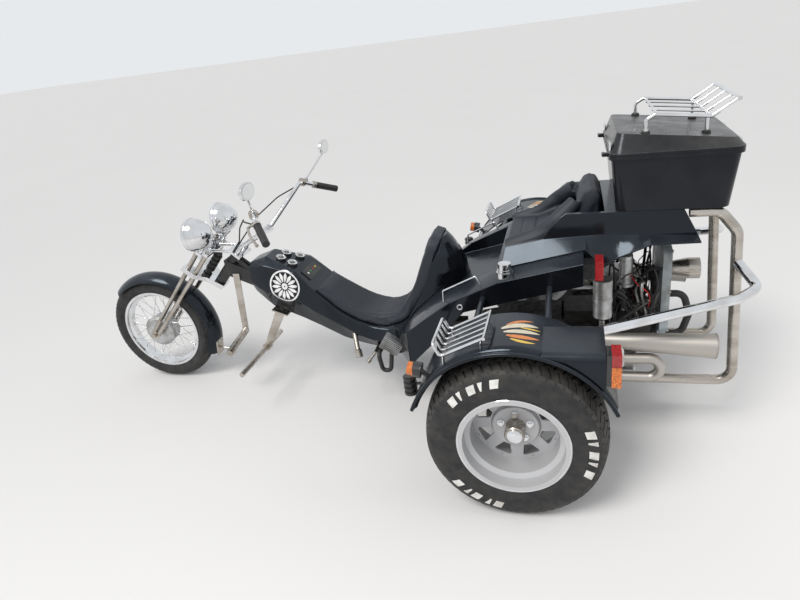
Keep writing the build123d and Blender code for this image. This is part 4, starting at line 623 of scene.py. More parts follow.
class Skin:
    """The outside of some CAD nodes, for setting trim down on it."""

    def __init__(self, *nodes: str) -> None:
        """Gathers the nodes' faces."""
        shape = bmesh.new()
        for node in nodes:
            shape.from_mesh(frame["nodes"][node].data)
        self.tree = BVHTree.FromBMesh(shape)
        shape.free()

    def under(self, place: Vector, toward: Vector) -> tuple[Vector, Vector] | None:
        """Finds where a line from a place meets the skin.

        Args:
            place: where the line starts, in metres.
            toward: its direction.

        Returns:
            The point and the normal there, or None.
        """
        point, normal, _, _ = self.tree.ray_cast(place, toward)
        if point is None:
            return None
        if normal.dot(toward) > 0:
            normal = -normal
        return point, normal

    def lay(self, shape: Shape, toward: Vector, lift: float, start: float = 0.25) -> None:
        """Lays a flat shape down on the skin and leaves out what misses it.

        Args:
            shape: the flat shape, near the skin.
            toward: the way down to the skin.
            lift: how far it ends above the skin, in metres.
            start: how far back each point's line starts, in metres.
        """
        missed = []
        for vert in shape.verts:
            found = self.under(vert.co - toward * start, toward)
            if found is None:
                missed.append(vert)
            else:
                vert.co = found[0] + found[1] * lift
        if missed:
            bmesh.ops.delete(shape, geom=missed, context="VERTS")

    def stubs(self, shape: Shape, place: Vector, facing: Vector, sizes: tuple) -> None:
        """Stands stubs on the skin where the line back from a place meets it, if it does.

        Args:
            shape: the mesh that takes them.
            place: a place off the skin.
            facing: the way that they stand.
            sizes: a row of the sizes of each stub.
        """
        found = self.under(place, -facing)
        for row in sizes if found else ():
            stub(shape, found[0], facing, *row)

    def turned(self, shape: Shape, place: Vector, facing: Vector, profile: Profile, steps: int,
               upright: bool = True) -> None:
        """Spins a profile on the skin where the line back from a place meets it, if it does.

        Args:
            shape: the mesh that takes it.
            place: a place off the skin.
            facing: the way from the skin to that place.
            profile: rows of height and radius, in metres.
            steps: how many steps a full turn has.
            upright: whether it stands along facing, and not along the skin's own normal.
        """
        found = self.under(place, -facing)
        if found:
            spun(shape, profile, found[0], facing if upright else found[1], steps)


def tube_wire(name: str, points: Sequence[Xyz], radius: float, finish: Surface,
              body: Body = Body.CHASSIS) -> None:
    """Runs a wire or a thin hose that stays put, through points in mm from the rear axle.

    Args:
        name: the piece's name.
        points: the control points of its line.
        radius: its radius in metres.
        finish: its finish.
        body: the body that it rides on.
    """
    line = bpy.data.curves.new(name, "CURVE")
    line.dimensions = "3D"
    line.bevel_depth = radius
    line.bevel_resolution = 2
    line.resolution_u = 6
    line.use_fill_caps = True
    spline = line.splines.new("NURBS")
    spline.points.add(len(points) - 1)
    for knot, point in zip(spline.points, points):
        knot.co = (*at(*point), 1.0)
    spline.order_u = 3
    spline.use_endpoint_u = True
    line.materials.append(finish.material())
    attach(shown(name, line), body.value)


@dataclass
class Panels:
    """The glossy mouldings, copied from their solids with the edges rounded.

    rows gives each node with how far its rounding reaches in metres, its finish and its body.
    flat_limit and sharp_limit are the angles in degrees under which two faces are one, and past
    which the edge between them is rounded.
    """

    rows: tuple = (
        ("body_nose", 0.005, PAINT, Body.CHASSIS), ("body_tub", 0.003, PAINT, Body.CHASSIS),
        ("tail_hood", 0.0014, PAINT, Body.CHASSIS), ("seat_shell", 0.003, PAINT, Body.CHASSIS),
        ("top_case_box", 0.002, CASE_SHELL, Body.CHASSIS),
        ("top_case_lid", 0.0022, CASE_SHELL, Body.LID),
        ("fenders", 0.002, PAINT, Body.CHASSIS), ("front_fender", 0.0013, PAINT, Body.STEERING),
    )
    flat_limit: float = 0.05
    sharp_limit: float = 24.0
    crease: float = 36.0
    normal_weight: int = 90

    def build(self) -> None:
        """Makes every panel."""
        for node, width, finish, body in self.rows:
            shape = self.rounded(node, width)
            panel = finished(f"{node}_skin", shape, finish, body, self.crease, (node,))
            even = panel.modifiers.new("even_normals", "WEIGHTED_NORMAL")
            even.weight = self.normal_weight
            even.keep_sharp = True

    def rounded(self, node: str, width: float) -> Shape:
        """Copies a solid, joins its triangles to its real faces and rounds its sharp edges.

        Args:
            node: the CAD node.
            width: how far the rounding reaches from an edge, in metres.

        Returns:
            The new mesh.
        """
        shape = bmesh.new()
        shape.from_mesh(frame["nodes"][node].data)
        bmesh.ops.remove_doubles(shape, verts=shape.verts, dist=MERGE_CAD)
        bmesh.ops.dissolve_limit(shape, angle_limit=math.radians(self.flat_limit),
                                 verts=shape.verts, edges=shape.edges,
                                 use_dissolve_boundaries=False, delimit=set())
        limit = math.radians(self.sharp_limit)
        sharp = [edge for edge in shape.edges
                 if edge.is_manifold and edge.calc_face_angle(0.0) > limit]
        bmesh.ops.bevel(shape, geom=sharp, offset=width, offset_type="OFFSET", segments=3,
                        profile=0.5, affect="EDGES", material=-1, clamp_overlap=False)
        return shape


@dataclass
class Cushion:
    """A padded piece that stands for a CAD solid.

    A cloth simulation swells it, and then it gets its channels. voxel, cap and shrink are in
    metres: the remesh's cell, the most that a point may swell, and how much smaller it starts.
    """

    node: str
    name: str
    voxel: float
    cap: float
    pressure: float = 4.0
    shrink: float = 0.003
    frames: int = 20
    soften_rounds: int = 4
    fill: float = 0.7

    def build(self) -> None:
        """Makes the cushion."""
        shape = bmesh.new()
        shape.from_mesh(frame["nodes"][self.node].data)
        bmesh.ops.remove_doubles(shape, verts=shape.verts, dist=MERGE_CAD)
        mesh = bpy.data.meshes.new(self.name)
        shape.to_mesh(mesh)
        shape.free()
        piece = shown(self.name, mesh)
        remesh = piece.modifiers.new("remesh", "REMESH")
        remesh.mode = "VOXEL"
        remesh.voxel_size = self.voxel
        self.bake(piece)
        self.push(piece, lambda place, normal: -self.shrink)
        self.swell(piece)
        smoothing = piece.modifiers.new("soften", "SMOOTH")
        smoothing.iterations = self.soften_rounds
        smoothing.factor = 0.5
        self.bake(piece)
        finer = piece.modifiers.new("finer", "SUBSURF")
        finer.levels = finer.render_levels = 1
        self.bake(piece)
        self.push(piece, self.channels)
        piece.data.polygons.foreach_set("use_smooth", [True] * len(piece.data.polygons))
        piece.data.materials.clear()
        piece.data.materials.append(VINYL.material())
        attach(piece, Body.CHASSIS.value)
        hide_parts(self.node)
        log.info("%s: %d faces", self.name, len(piece.data.polygons))

    def bake(self, piece: bpy.types.Object) -> None:
        """Applies a piece's modifiers.

        Args:
            piece: the piece, which gets a new mesh.
        """
        graph = bpy.context.evaluated_depsgraph_get()
        mesh = bpy.data.meshes.new_from_object(piece.evaluated_get(graph))
        piece.modifiers.clear()
        old = piece.data
        piece.data = mesh
        bpy.data.meshes.remove(old)

    def swell(self, piece: bpy.types.Object) -> None:
        """Blows a pad up under pressure and holds each point within the cap.

        Args:
            piece: the pad.
        """
        start = [vert.co.copy() for vert in piece.data.vertices]
        cloth = piece.modifiers.new("cloth", "CLOTH")
        cloth.settings.use_pressure = True
        cloth.settings.uniform_pressure_force = self.pressure
        cloth.settings.effector_weights.gravity = 0
        scene = bpy.context.scene
        for moment in range(1, self.frames + 1):
            scene.frame_set(moment)
        self.bake(piece)
        scene.frame_set(1)
        held = []
        for vert, home in zip(piece.data.vertices, start):
            move = vert.co - home
            held.extend(home + move * min(1.0, self.cap / max(move.length, LEAST_MOVE)))
        piece.data.vertices.foreach_set("co", held)
        piece.data.update()

    def push(self, piece: bpy.types.Object, depth: Callable[[Vector, Vector], float]) -> None:
        """Moves each point of a piece along its normal.

        Args:
            piece: the piece.
            depth: gives the way, in metres, from a point's place and normal.
        """
        normals = [row.vector.copy() for row in piece.data.vertex_normals]
        places = [vert.co.copy() for vert in piece.data.vertices]
        moved = [part for place, normal in zip(places, normals)
                 for part in place + normal * depth(place, normal)]
        piece.data.vertices.foreach_set("co", moved)
        piece.data.update()

    def channels(self, place: Vector, normal: Vector) -> float:
        """Returns how far the sewn channels raise a point; a plain cushion has none."""
        return 0.0


@dataclass
class DriverSeat(Cushion):
    """The long curved seat with its lengthwise ribs between a smooth border.

    ends gives the ribs' front end, from the axle, and their top, and fade how far before an end
    they start to level out, all in metres. facing gives how far the seat has to look up or
    forward for ribs to start, and how much further it does where they are full.
    """

    node: str = "driver_seat"
    name: str = "driver_seat_pad"
    voxel: float = 0.006
    cap: float = 0.007
    rib_pitch: float = 0.0235
    rib_depth: float = 0.0085
    rib_half: float = 0.094
    rib_roundness: float = 0.85
    ends: Span = (0.985, 0.8)
    fade: float = 0.03
    facing: Span = (0.2, 0.3)

    def channels(self, place: Vector, normal: Vector) -> float:
        """Gives the valleys between the ribs, where the seat faces the rider.

        Args:
            place: a point's place.
            normal: its normal.

        Returns:
            How far the point is raised, in metres.
        """
        front, top = self.ends
        least, more = self.facing
        facing = max(normal.z, normal.x)
        if abs(place.y) > self.rib_half or facing < least:
            return 0.0
        share = min(1.0, (facing - least) / more)
        share *= min(1.0, max(0.0, (front + AXLE_X - place.x) / self.fade))
        share *= min(1.0, max(0.0, (top - place.z) / self.fade))
        wave = abs(math.cos(math.pi * place.y / self.rib_pitch))
        return -self.rib_depth * share * (1.0 - wave ** self.rib_roundness)


@dataclass
class PassengerSeat(Cushion):
    """The passenger's seat, its padded rolls and its backrest.

    The channels run across, pitch apart, shift from the zero. seat_top and back_foot are the
    heights under which the seat, and over which the backrest, has them. All are in metres.
    """

    node: str = "passenger_pads"
    name: str = "passenger_seat_pad"
    voxel: float = 0.0065
    cap: float = 0.008
    half: float = 0.125
    facing: float = 0.6
    seat_top: float = 0.94
    back_foot: float = 0.9
    pitch: float = 0.06
    shift: float = 0.02
    channel_half: float = 0.006
    channel_depth: float = 0.004

    def channels(self, place: Vector, normal: Vector) -> float:
        """Gives the cross channels in the seat and the backrest.

        Args:
            place: a point's place.
            normal: its normal.

        Returns:
            How far the point is raised, in metres.
        """
        if abs(place.y) > self.half:
            return 0.0
        if normal.z > self.facing and place.z < self.seat_top:
            way = place.x - AXLE_X
        elif normal.x > self.facing and place.z > self.back_foot:
            way = place.z
        else:
            return 0.0
        near = abs((way + self.shift) % self.pitch - self.pitch / 2)
        return -self.channel_depth * max(0.0, 1 - near / self.channel_half)


@dataclass
class Tyre:
    """A tyre with its carcass, its tread blocks and, on the rear ones, white sidewall blocks.

    half_profile gives rows of half width and radius in mm from the bead to the crown, and rows
    gives each row of tread blocks as the ways across it lies between, its blocks round the tyre,
    and their slant in degrees. tread_drop is the blocks' height, crown and shoulder the tread's
    radius in the middle and, with its half width, at the shoulder, in mm. Past the shoulder it
    falls by shoulder_fall for each shoulder_reach, in metres. white_groups gives the turn of each
    group of white blocks in degrees; the mark_ fields give their sizes in mm and degrees.
    """

    node: str
    body: Body
    half_profile: tuple
    rows: tuple
    tread_drop: float
    crown: float
    shoulder: Span
    white_groups: tuple[float, ...] = ()
    outer_side: int = 1
    steps: int = 96
    groove: float = 0.24
    block_root: float = 0.001
    shoulder_reach: float = 0.016
    shoulder_fall: float = 0.034
    mark_radii: Span = (262.0, 294.0)
    mark_count: int = 5
    mark_pitch: float = 9.0
    mark_widths: Span = (6.4, 3.6)
    mark_foot: float = 0.35
    mark_lean: float = 1.5
    mark_proud: float = 0.0014
    mark_depth: float = 0.002

    def __post_init__(self) -> None:
        """Finds the tyre's centre."""
        self.centre = middle(self.node)

    def build(self) -> None:
        """Makes the carcass, the blocks and the white marks."""
        shape = bmesh.new()
        half = [(y / 1000, r / 1000) for y, r in self.half_profile]
        profile = [(-y, r) for y, r in half] + [(y, r) for y, r in reversed(half)][1:]
        spun(shape, profile + profile[:1], self.centre, Vector((0, 1, 0)), self.steps)
        finished(f"{self.node}_carcass", shape, TYRE, self.body, 50.0, (self.node,))
        blocks = bmesh.new()
        for row in self.rows:
            self.row(blocks, *row)
        finished(f"{self.node}_tread", blocks, TREAD, self.body, 30.0)
        if self.white_groups:
            self.marks()

    def radius(self, y: float) -> float:
        """Gives the tread's radius.

        Args:
            y: the way across it, in metres from its middle.

        Returns:
            The radius in metres.
        """
        edge, low = self.shoulder
        if abs(y) > edge / 1000:
            over = (abs(y) - edge / 1000) / self.shoulder_reach
            return low / 1000 - self.shoulder_fall * over
        share = min(1.0, abs(y) / (edge / 1000))
        return self.crown / 1000 - (self.crown - low) / 1000 * share ** 2

    def wrapped(self, across: float, turn: float, radius: float) -> Vector:
        """Returns the place at a way across the tyre, a turn round it and a radius."""
        return self.centre + Vector((math.cos(turn) * radius, across, math.sin(turn) * radius))

    def row(self, shape: Shape, y0: float, y1: float, count: int, slant: float) -> None:
        """Lays one row of blocks round the tyre.

        Args:
            shape: the mesh that takes them.
            y0: the row's near edge in mm from the middle plane.
            y1: its far edge.
            count: how many blocks it has.
            slant: how far, in degrees of turn, the far edge runs ahead.
        """
        step = math.tau / count
        made = bmesh.ops.create_grid(shape, x_segments=2, y_segments=2, size=0.5)["verts"]
        for vert in made:
            share_y, share_a = vert.co.x + 0.5, vert.co.y + 0.5
            y = (y0 + (y1 - y0) * share_y) / 1000
            turn = share_a * step * (1 - self.groove) + math.radians(slant) * share_y
            vert.co = self.wrapped(y, turn, self.radius(y))
        raised = bmesh.ops.extrude_face_region(shape, geom=faces_of(made))["geom"]
        lows = [part for part in raised if isinstance(part, bmesh.types.BMVert)]
        for vert in lows:
            arm = vert.co - self.centre
            flat = Vector((arm.x, 0, arm.z))
            vert.co -= flat.normalized() * (self.tread_drop / 1000 + self.block_root)
        verts = list(dict.fromkeys([*made, *lows]))
        edges, faces = edges_of(verts), faces_of(verts)
        bmesh.ops.recalc_face_normals(shape, faces=faces)
        bmesh.ops.spin(shape, geom=verts + edges + faces, cent=self.centre, axis=(0, -1, 0),
                       dvec=(0, 0, 0), angle=math.tau * (count - 1) / count, steps=count - 1,
                       use_merge=False, use_duplicate=True)

    def wall(self, radius: float) -> float:
        """Gives the sidewall's half width.

        Args:
            radius: where it is asked for, in mm.

        Returns:
            The half width in metres.
        """
        rows = self.half_profile
        for (y0, r0), (y1, r1) in zip(rows, rows[1:]):
            if r0 <= radius <= r1:
                return (y0 + (y1 - y0) * (radius - r0) / (r1 - r0)) / 1000
        return rows[0][0] / 1000

    def marks(self) -> None:
        """Raises groups of plain white blocks on the outer sidewall."""
        shape = bmesh.new()
        for group in self.white_groups:
            for index in range(self.mark_count):
                start = group + (index - self.mark_count / 2) * self.mark_pitch
                self.mark(shape, start, self.mark_widths[index % 2],
                          self.mark_foot if index % 2 else 1.0)
        bmesh.ops.recalc_face_normals(shape, faces=shape.faces)
        finished(f"{self.node}_white_blocks", shape, WHITE_RUBBER, self.body, 30.0)

    def mark(self, shape: Shape, start: float, wide: float, foot: float) -> None:
        """Raises one white block.

        Args:
            shape: the mesh that takes it.
            start: the turn at which it starts, in degrees.
            wide: the turn that it takes up, in degrees.
            foot: the share of its width that it has at its inner end.
        """
        low, high = self.mark_radii
        made = bmesh.ops.create_grid(shape, x_segments=3, y_segments=3, size=0.5)["verts"]
        for vert in made:
            share_r, share_a = vert.co.x + 0.5, vert.co.y + 0.5
            taper = foot + (1.0 - foot) * share_r
            radius = low + (high - low) * share_r
            turn = start + wide * (0.5 + (share_a - 0.5) * taper) + self.mark_lean * share_r
            across = self.outer_side * (self.wall(radius) + self.mark_proud)
            vert.co = self.wrapped(across, math.radians(turn), radius / 1000)
        for part in bmesh.ops.extrude_face_region(shape, geom=faces_of(made))["geom"]:
            if isinstance(part, bmesh.types.BMVert):
                part.co.y -= self.outer_side * self.mark_depth


@dataclass
class RearWheelTrim:
    """The polished lip, the nuts, the rivets and the hub cap of one rear wheel, in metres.

    rings gives each ring of stubs as their number, the share of a step and the turn by which the
    first is moved on, the ring's radius and the sizes of the stubs.
    """

    side: int
    body: Body
    rings: tuple = (
        (5, 0.0, 0.3, 0.057, ((0.0105, 0.014, 6, 0.95), (0.014, 0.004, 20, 0.95))),
        (8, 0.5, 0.0, 0.155, ((0.0045, 0.002, 12, 0.7),)),
    )
    lip: Profile = ((-0.006, 0.2), (-0.001, 0.1985), (0.0012, 0.2015), (0.0012, 0.2045),
                    (-0.001, 0.2068), (-0.006, 0.2068))
    hub_cap: Profile = ((-0.002, 0.031), (0.004, 0.0305), (0.0085, 0.026), (0.0105, 0.016),
                        (0.011, 0.0))
    reach: float = 0.3

    def build(self) -> None:
        """Makes the trim."""
        name = "left" if self.side > 0 else "right"
        centre = middle(f"rear_rim_{name}")
        centre.x, centre.z = AXLE_X, middle(f"rear_tyre_{name}").z
        skin = Skin(f"rear_rim_{name}", f"rear_hub_{name}")
        outward = -Vector((0, -self.side, 0))
        shape = bmesh.new()
        for count, share, first, ring, sizes in self.rings:
            for index in range(count):
                turn = math.tau * (index + share) / count + first
                arm = Vector((math.cos(turn) * ring, self.side * self.reach,
                              math.sin(turn) * ring))
                skin.stubs(shape, centre + arm, outward, sizes)
        low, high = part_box(f"rear_rim_{name}")
        edge = high.y if self.side > 0 else low.y
        spun(shape, self.lip, Vector((AXLE_X, edge, centre.z)), outward, 96)
        skin.turned(shape, centre + Vector((0, self.side * self.reach, 0)), outward,
                    self.hub_cap, 32)
        finished(f"rear_wheel_trim_{name}", shape, CHROME, self.body, 35.0)


@dataclass
class NoseEmblem:
    """A plain round sunburst on each side of the nose.

    centre and beside, where it is drawn, are in mm, and radius and middle_from in metres. The
    other inner and outer radii are shares of radius, and ray_sweep is a ray's share of its step.
    """

    centre: Span = (1196.0, 631.0)
    beside: float = 300.0
    radius: float = 0.084
    rays: int = 14
    rim_from: float = 0.9
    middle_from: float = 0.004
    middle_to: float = 0.2
    ray_from: float = 0.27
    ray_to: float = 0.84
    ray_sweep: float = 0.8
    ray_curve: Span = (0.12, 0.82)
    lift: float = 0.0009

    def build(self) -> None:
        """Makes both emblems."""
        skin = Skin("body_nose")
        shape = bmesh.new()
        for side in (1, -1):
            part = bmesh.new()
            self.flat(part, side)
            skin.lay(part, Vector((0, -side, 0)), self.lift)
            merged = bpy.data.meshes.new("emblem_part")
            part.to_mesh(merged)
            part.free()
            shape.from_mesh(merged)
            bpy.data.meshes.remove(merged)
        finished("nose_emblems", shape, EMBLEM_WHITE, Body.CHASSIS, 60.0)

    def flat(self, shape: Shape, side: int) -> None:
        """Draws the sunburst on a flat plane beside the nose.

        Args:
            shape: the mesh that takes it.
            side: 1 for the left and -1 for the right.
        """
        x, z = self.centre
        hub = at(x, side * self.beside, z)
        r = self.radius
        self.sector(shape, hub, (r * self.rim_from, r), 0, math.tau, 48, False)
        self.sector(shape, hub, (self.middle_from, r * self.middle_to), 0, math.tau, 24, False)
        for index in range(self.rays):
            turn = math.tau * index / self.rays
            self.sector(shape, hub, (r * self.ray_from, r * self.ray_to), turn,
                        math.tau / self.rays * self.ray_sweep, 4, True)
        bmesh.ops.remove_doubles(shape, verts=shape.verts, dist=0.0001)
        bmesh.ops.recalc_face_normals(shape, faces=shape.faces)
        face_toward(shape, Vector((0, side, 0)))

    def sector(self, shape: Shape, hub: Vector, radii: Span, turn: float, sweep: float,
               steps: int, taper: bool) -> None:
        """Spins a strip between two radii, and draws in the ends of one that tapers.

        Args:
            shape: the mesh that takes it.
            hub: the sunburst's centre.
            radii: the strip's inner and outer radius, in metres.
            turn: the turn at its middle.
            sweep: the turn that it takes up.
            steps: how many steps it has.
            taper: whether its ends are drawn in.
        """
        inner, outer = radii
        spoke = Vector((math.cos(turn - sweep / 2), 0, math.sin(turn - sweep / 2)))
        before = set(shape.verts)
        chain = [shape.verts.new(hub + spoke * (inner + (outer - inner) * part / 4))
                 for part in range(5)]
        edges = [shape.edges.new(pair) for pair in zip(chain, chain[1:])]
        bmesh.ops.spin(shape, geom=chain + edges, cent=hub, axis=(0, -1, 0), dvec=(0, 0, 0),
                       angle=sweep, steps=steps, use_merge=False, use_duplicate=False)
        if not taper:
            return
        along = Vector((math.cos(turn), 0, math.sin(turn)))
        start, run = self.ray_curve
        for vert in set(shape.verts) - before:
            arm = vert.co - hub
            way = (arm.length - inner) / (outer - inner)
            across = arm - along * arm.dot(along)
            vert.co -= across * (1 - math.sin(math.pi * (start + run * way)))


@dataclass
class FenderFlourish:
    """A plain sweep of tapering leaves on each rear fender's crown.

    leaves gives each leaf as its colour, its start, bend and tip in mm on the plan, and its width
    in mm. tip_share is how much of the leaf's outline is left out at its start.
    """

    leaves: tuple = (
        (CREAM, (38, 726), (-16, 690), (-92, 704), 30.0),
        (CREAM, (28, 750), (-30, 742), (-98, 750), 26.0),
        (ORANGE, (16, 774), (-34, 790), (-98, 788), 24.0),
        (YELLOW, (0, 798), (-36, 824), (-86, 818), 16.0),
        (ORANGE, (22, 700), (-14, 666), (-72, 668), 15.0),
        (YELLOW, (-30, 718), (-64, 724), (-100, 727), 10.0),
    )
    tip_share: float = 0.06
    fullness: float = 0.7
    drawn_at: float = 900.0
    lift: float = 0.0008

    def build(self) -> None:
        """Makes the leaves, one piece for each colour."""
        skin = Skin("fenders")
        for finish in (CREAM, ORANGE, YELLOW):
            shape = bmesh.new()
            for row in self.leaves:
                if row[0] is finish:
                    for side in (1, -1):
                        self.leaf(shape, side, *row[1:])
            skin.lay(shape, -UP, self.lift)
            face_toward(shape, UP)
            name = finish.name.replace("flourish", "fender_leaves")
            finished(name, shape, finish, Body.CHASSIS, 60.0)

    def leaf(self, shape: Shape, side: int, start: Span, bend: Span, tip: Span,
             width: float) -> None:
        """Draws one leaf flat above the fender.

        Args:
            shape: the mesh that takes it.
            side: 1 for the left and -1 for the right.
            start: its start on the plan, in mm.
            bend: the point that it bends towards.
            tip: its tip.
            width: its width in mm.
        """
        made = bmesh.ops.create_grid(shape, x_segments=22, y_segments=4, size=0.5)["verts"]
        first, turn, last = (Vector((x, side * y)) for x, y in (start, bend, tip))
        for vert in made:
            way, across = vert.co.x + 0.5, vert.co.y * 2
            place = first * (1 - way) ** 2 + turn * 2 * way * (1 - way) + last * way ** 2
            ahead = ((turn - first) * (1 - way) + (last - turn) * way).normalized()
            along = min(1.0, self.tip_share + way * (1 - self.tip_share))
            half = width / 2 * math.sin(math.pi * along) ** self.fullness
            place += Vector((-ahead.y, ahead.x)) * across * half
            vert.co = at(place.x, place.y, self.drawn_at)


@dataclass
class Dash:
    """The gauges' rings, dials and needles, and the warning lamps.

    gauges gives each one's place in mm and its needle's turn. The profiles give heights in metres
    and shares of the gauge's radius, and lamps each warning lamp's finish and place across in mm.
    """

    gauges: tuple = ((1166, 50, 0.9), (1166, -50, 2.4), (1232, 34, 1.5), (1232, -34, 3.4))
    radius: float = 0.024
    ring: Profile = ((-0.002, 1.06), (0.003, 1.07), (0.0045, 1.0), (0.003, 0.93), (0.0004, 0.92))
    dial: Profile = ((0.0003, 0.93), (0.0007, 0.0))
    scale: Profile = ((0.0009, 0.9), (0.0012, 0.88), (0.0012, 0.7), (0.0009, 0.68))
    ticks: int = 9
    tick_turns: Span = (0.12, 0.76)
    tick: Xyz = (0.18, 0.0011, 0.0006)
    tick_place: Span = (0.56, 0.0013)
    needle: Xyz = (0.62, 0.0014, 0.0008)
    needle_place: Span = (0.26, 0.002)
    lamps: tuple = (("white", DIAL_WHITE, 44), ("green", GREEN_LAMP, 15), ("red", RED_LENS, -15),
                    ("yellow", YELLOW, -44))
    lamp: Profile = ((-0.001, 0.0062), (0.0015, 0.0058), (0.0034, 0.0035), (0.004, 0.0))
    lamp_ahead: float = 22.0
    above: float = 1000.0

    def sized(self, profile: Profile) -> list[Span]:
        """Returns a profile with its radii in metres."""
        return [(height, self.radius * share) for height, share in profile]

    def bar(self, shape: Shape, stand: Matrix, turn: float, place: Span, size: Xyz) -> None:
        """Lays a tick or a needle on a dial.

        Args:
            shape: the mesh that takes it.
            stand: the dial's own frame.
            turn: which way it points.
            place: the share of the radius where its middle is, and its height in metres.
            size: its length as a share of the radius, its width and its depth in metres.
        """
        there = Matrix.Translation((self.radius * place[0], 0, place[1]))
        spread = Matrix.Diagonal((self.radius * size[0], size[1], size[2], 1))
        bmesh.ops.create_cube(shape, size=1.0,
                              matrix=stand @ Matrix.Rotation(turn, 4, "Z") @ there @ spread)

    def build(self) -> None:
        """Makes the gauges and the warning lamps."""
        skin = Skin("instruments", "body_nose")
        rings, whites, faces = bmesh.new(), bmesh.new(), bmesh.new()
        for x, y, turn in self.gauges:
            found = skin.under(at(x, y, self.above), -UP)
            if not found:
                continue
            spun(rings, self.sized(self.ring), *found, 48)
            spun(faces, self.sized(self.dial), *found, 36)
            spun(whites, self.sized(self.scale), *found, 36)
            stand = aimed(*found)
            first, run = self.tick_turns
            for index in range(self.ticks):
                way = math.tau * (first + run * index / (self.ticks - 1))
                self.bar(whites, stand, way, self.tick_place, self.tick)
            self.bar(whites, stand, turn, self.needle_place, self.needle)
        finished("gauge_rings", rings, CHROME, Body.CHASSIS)
        finished("gauge_dials", faces, DIAL_BLACK, Body.CHASSIS)
        finished("gauge_scales", whites, DIAL_WHITE, Body.CHASSIS)
        x = (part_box("instruments")[0].x - AXLE_X) * 1000 + self.lamp_ahead
        for name, finish, y in self.lamps:
            shape = bmesh.new()
            skin.turned(shape, at(x, y, self.above), UP, self.lamp, 20, upright=False)
            finished(f"warning_lamp_{name}", shape, finish, Body.CHASSIS)


@dataclass
class Lamps:
    """The headlights' glass and rims, and the tail lamps' screws, in metres."""

    lamp_y: float = 0.134
    lamp_z: float = 0.927
    rim: Profile = ((-0.019, 0.0835), (-0.014, 0.0855), (-0.002, 0.0852), (0.003, 0.082),
                    (0.0035, 0.078), (0.0005, 0.0755))
    glass: Profile = ((0.0006, 0.0765), (0.005, 0.066), (0.0085, 0.048), (0.0105, 0.024),
                      (0.011, 0.0))
    screws: tuple = ((0.832, 0.7), (0.882, 0.7), (0.832, 0.612), (0.882, 0.612))
    screw_depth: float = 0.0155
    screw: tuple = (0.003, 0.002, 10)

    def build(self) -> None:
        """Makes the headlights' fronts and the screws."""
        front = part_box("headlights")[1].x
        rims, glass = bmesh.new(), bmesh.new()
        for side in (1, -1):
            centre = Vector((front, side * self.lamp_y, self.lamp_z))
            spun(rims, self.rim, centre, AHEAD, 64)
            spun(glass, self.glass, centre, AHEAD, 48)
        finished("headlight_rims", rims, CHROME, Body.STEERING)
        finished("headlight_glass", glass, LAMP_GLASS, Body.STEERING)
        shape = bmesh.new()
        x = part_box("tail_lamps")[0].x + self.screw_depth
        for side in (1, -1):
            for y, z in self.screws:
                stub(shape, Vector((x, side * y, z)), BACK, *self.screw)
        finished("lamp_screws", shape, STAINLESS, Body.CHASSIS)


@dataclass
class MirrorFaces:
    """The mirrors' glass, on the rider's side of the shells, in mm."""

    centre: Span = (440.0, 1208.0)
    half: Span = (50.0, 31.0)
    proud: float = 0.6

    def build(self) -> None:
        """Makes both glasses."""
        shape = bmesh.new()
        x = (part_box("mirrors")[0].x - AXLE_X) * 1000 - self.proud
        for side in (1, -1):
            made = bmesh.ops.create_circle(shape, cap_ends=True, segments=40, radius=1.0)["verts"]
            for vert in made:
                vert.co = at(x, side * self.centre[0] + vert.co.x * self.half[0],
                             self.centre[1] + vert.co.y * self.half[1])
        face_toward(shape, BACK)
        bmesh.ops.inset_region(shape, faces=shape.faces, thickness=0.004, depth=0.0)
        finished("mirror_glass", shape, MIRROR_GLASS, Body.STEERING)


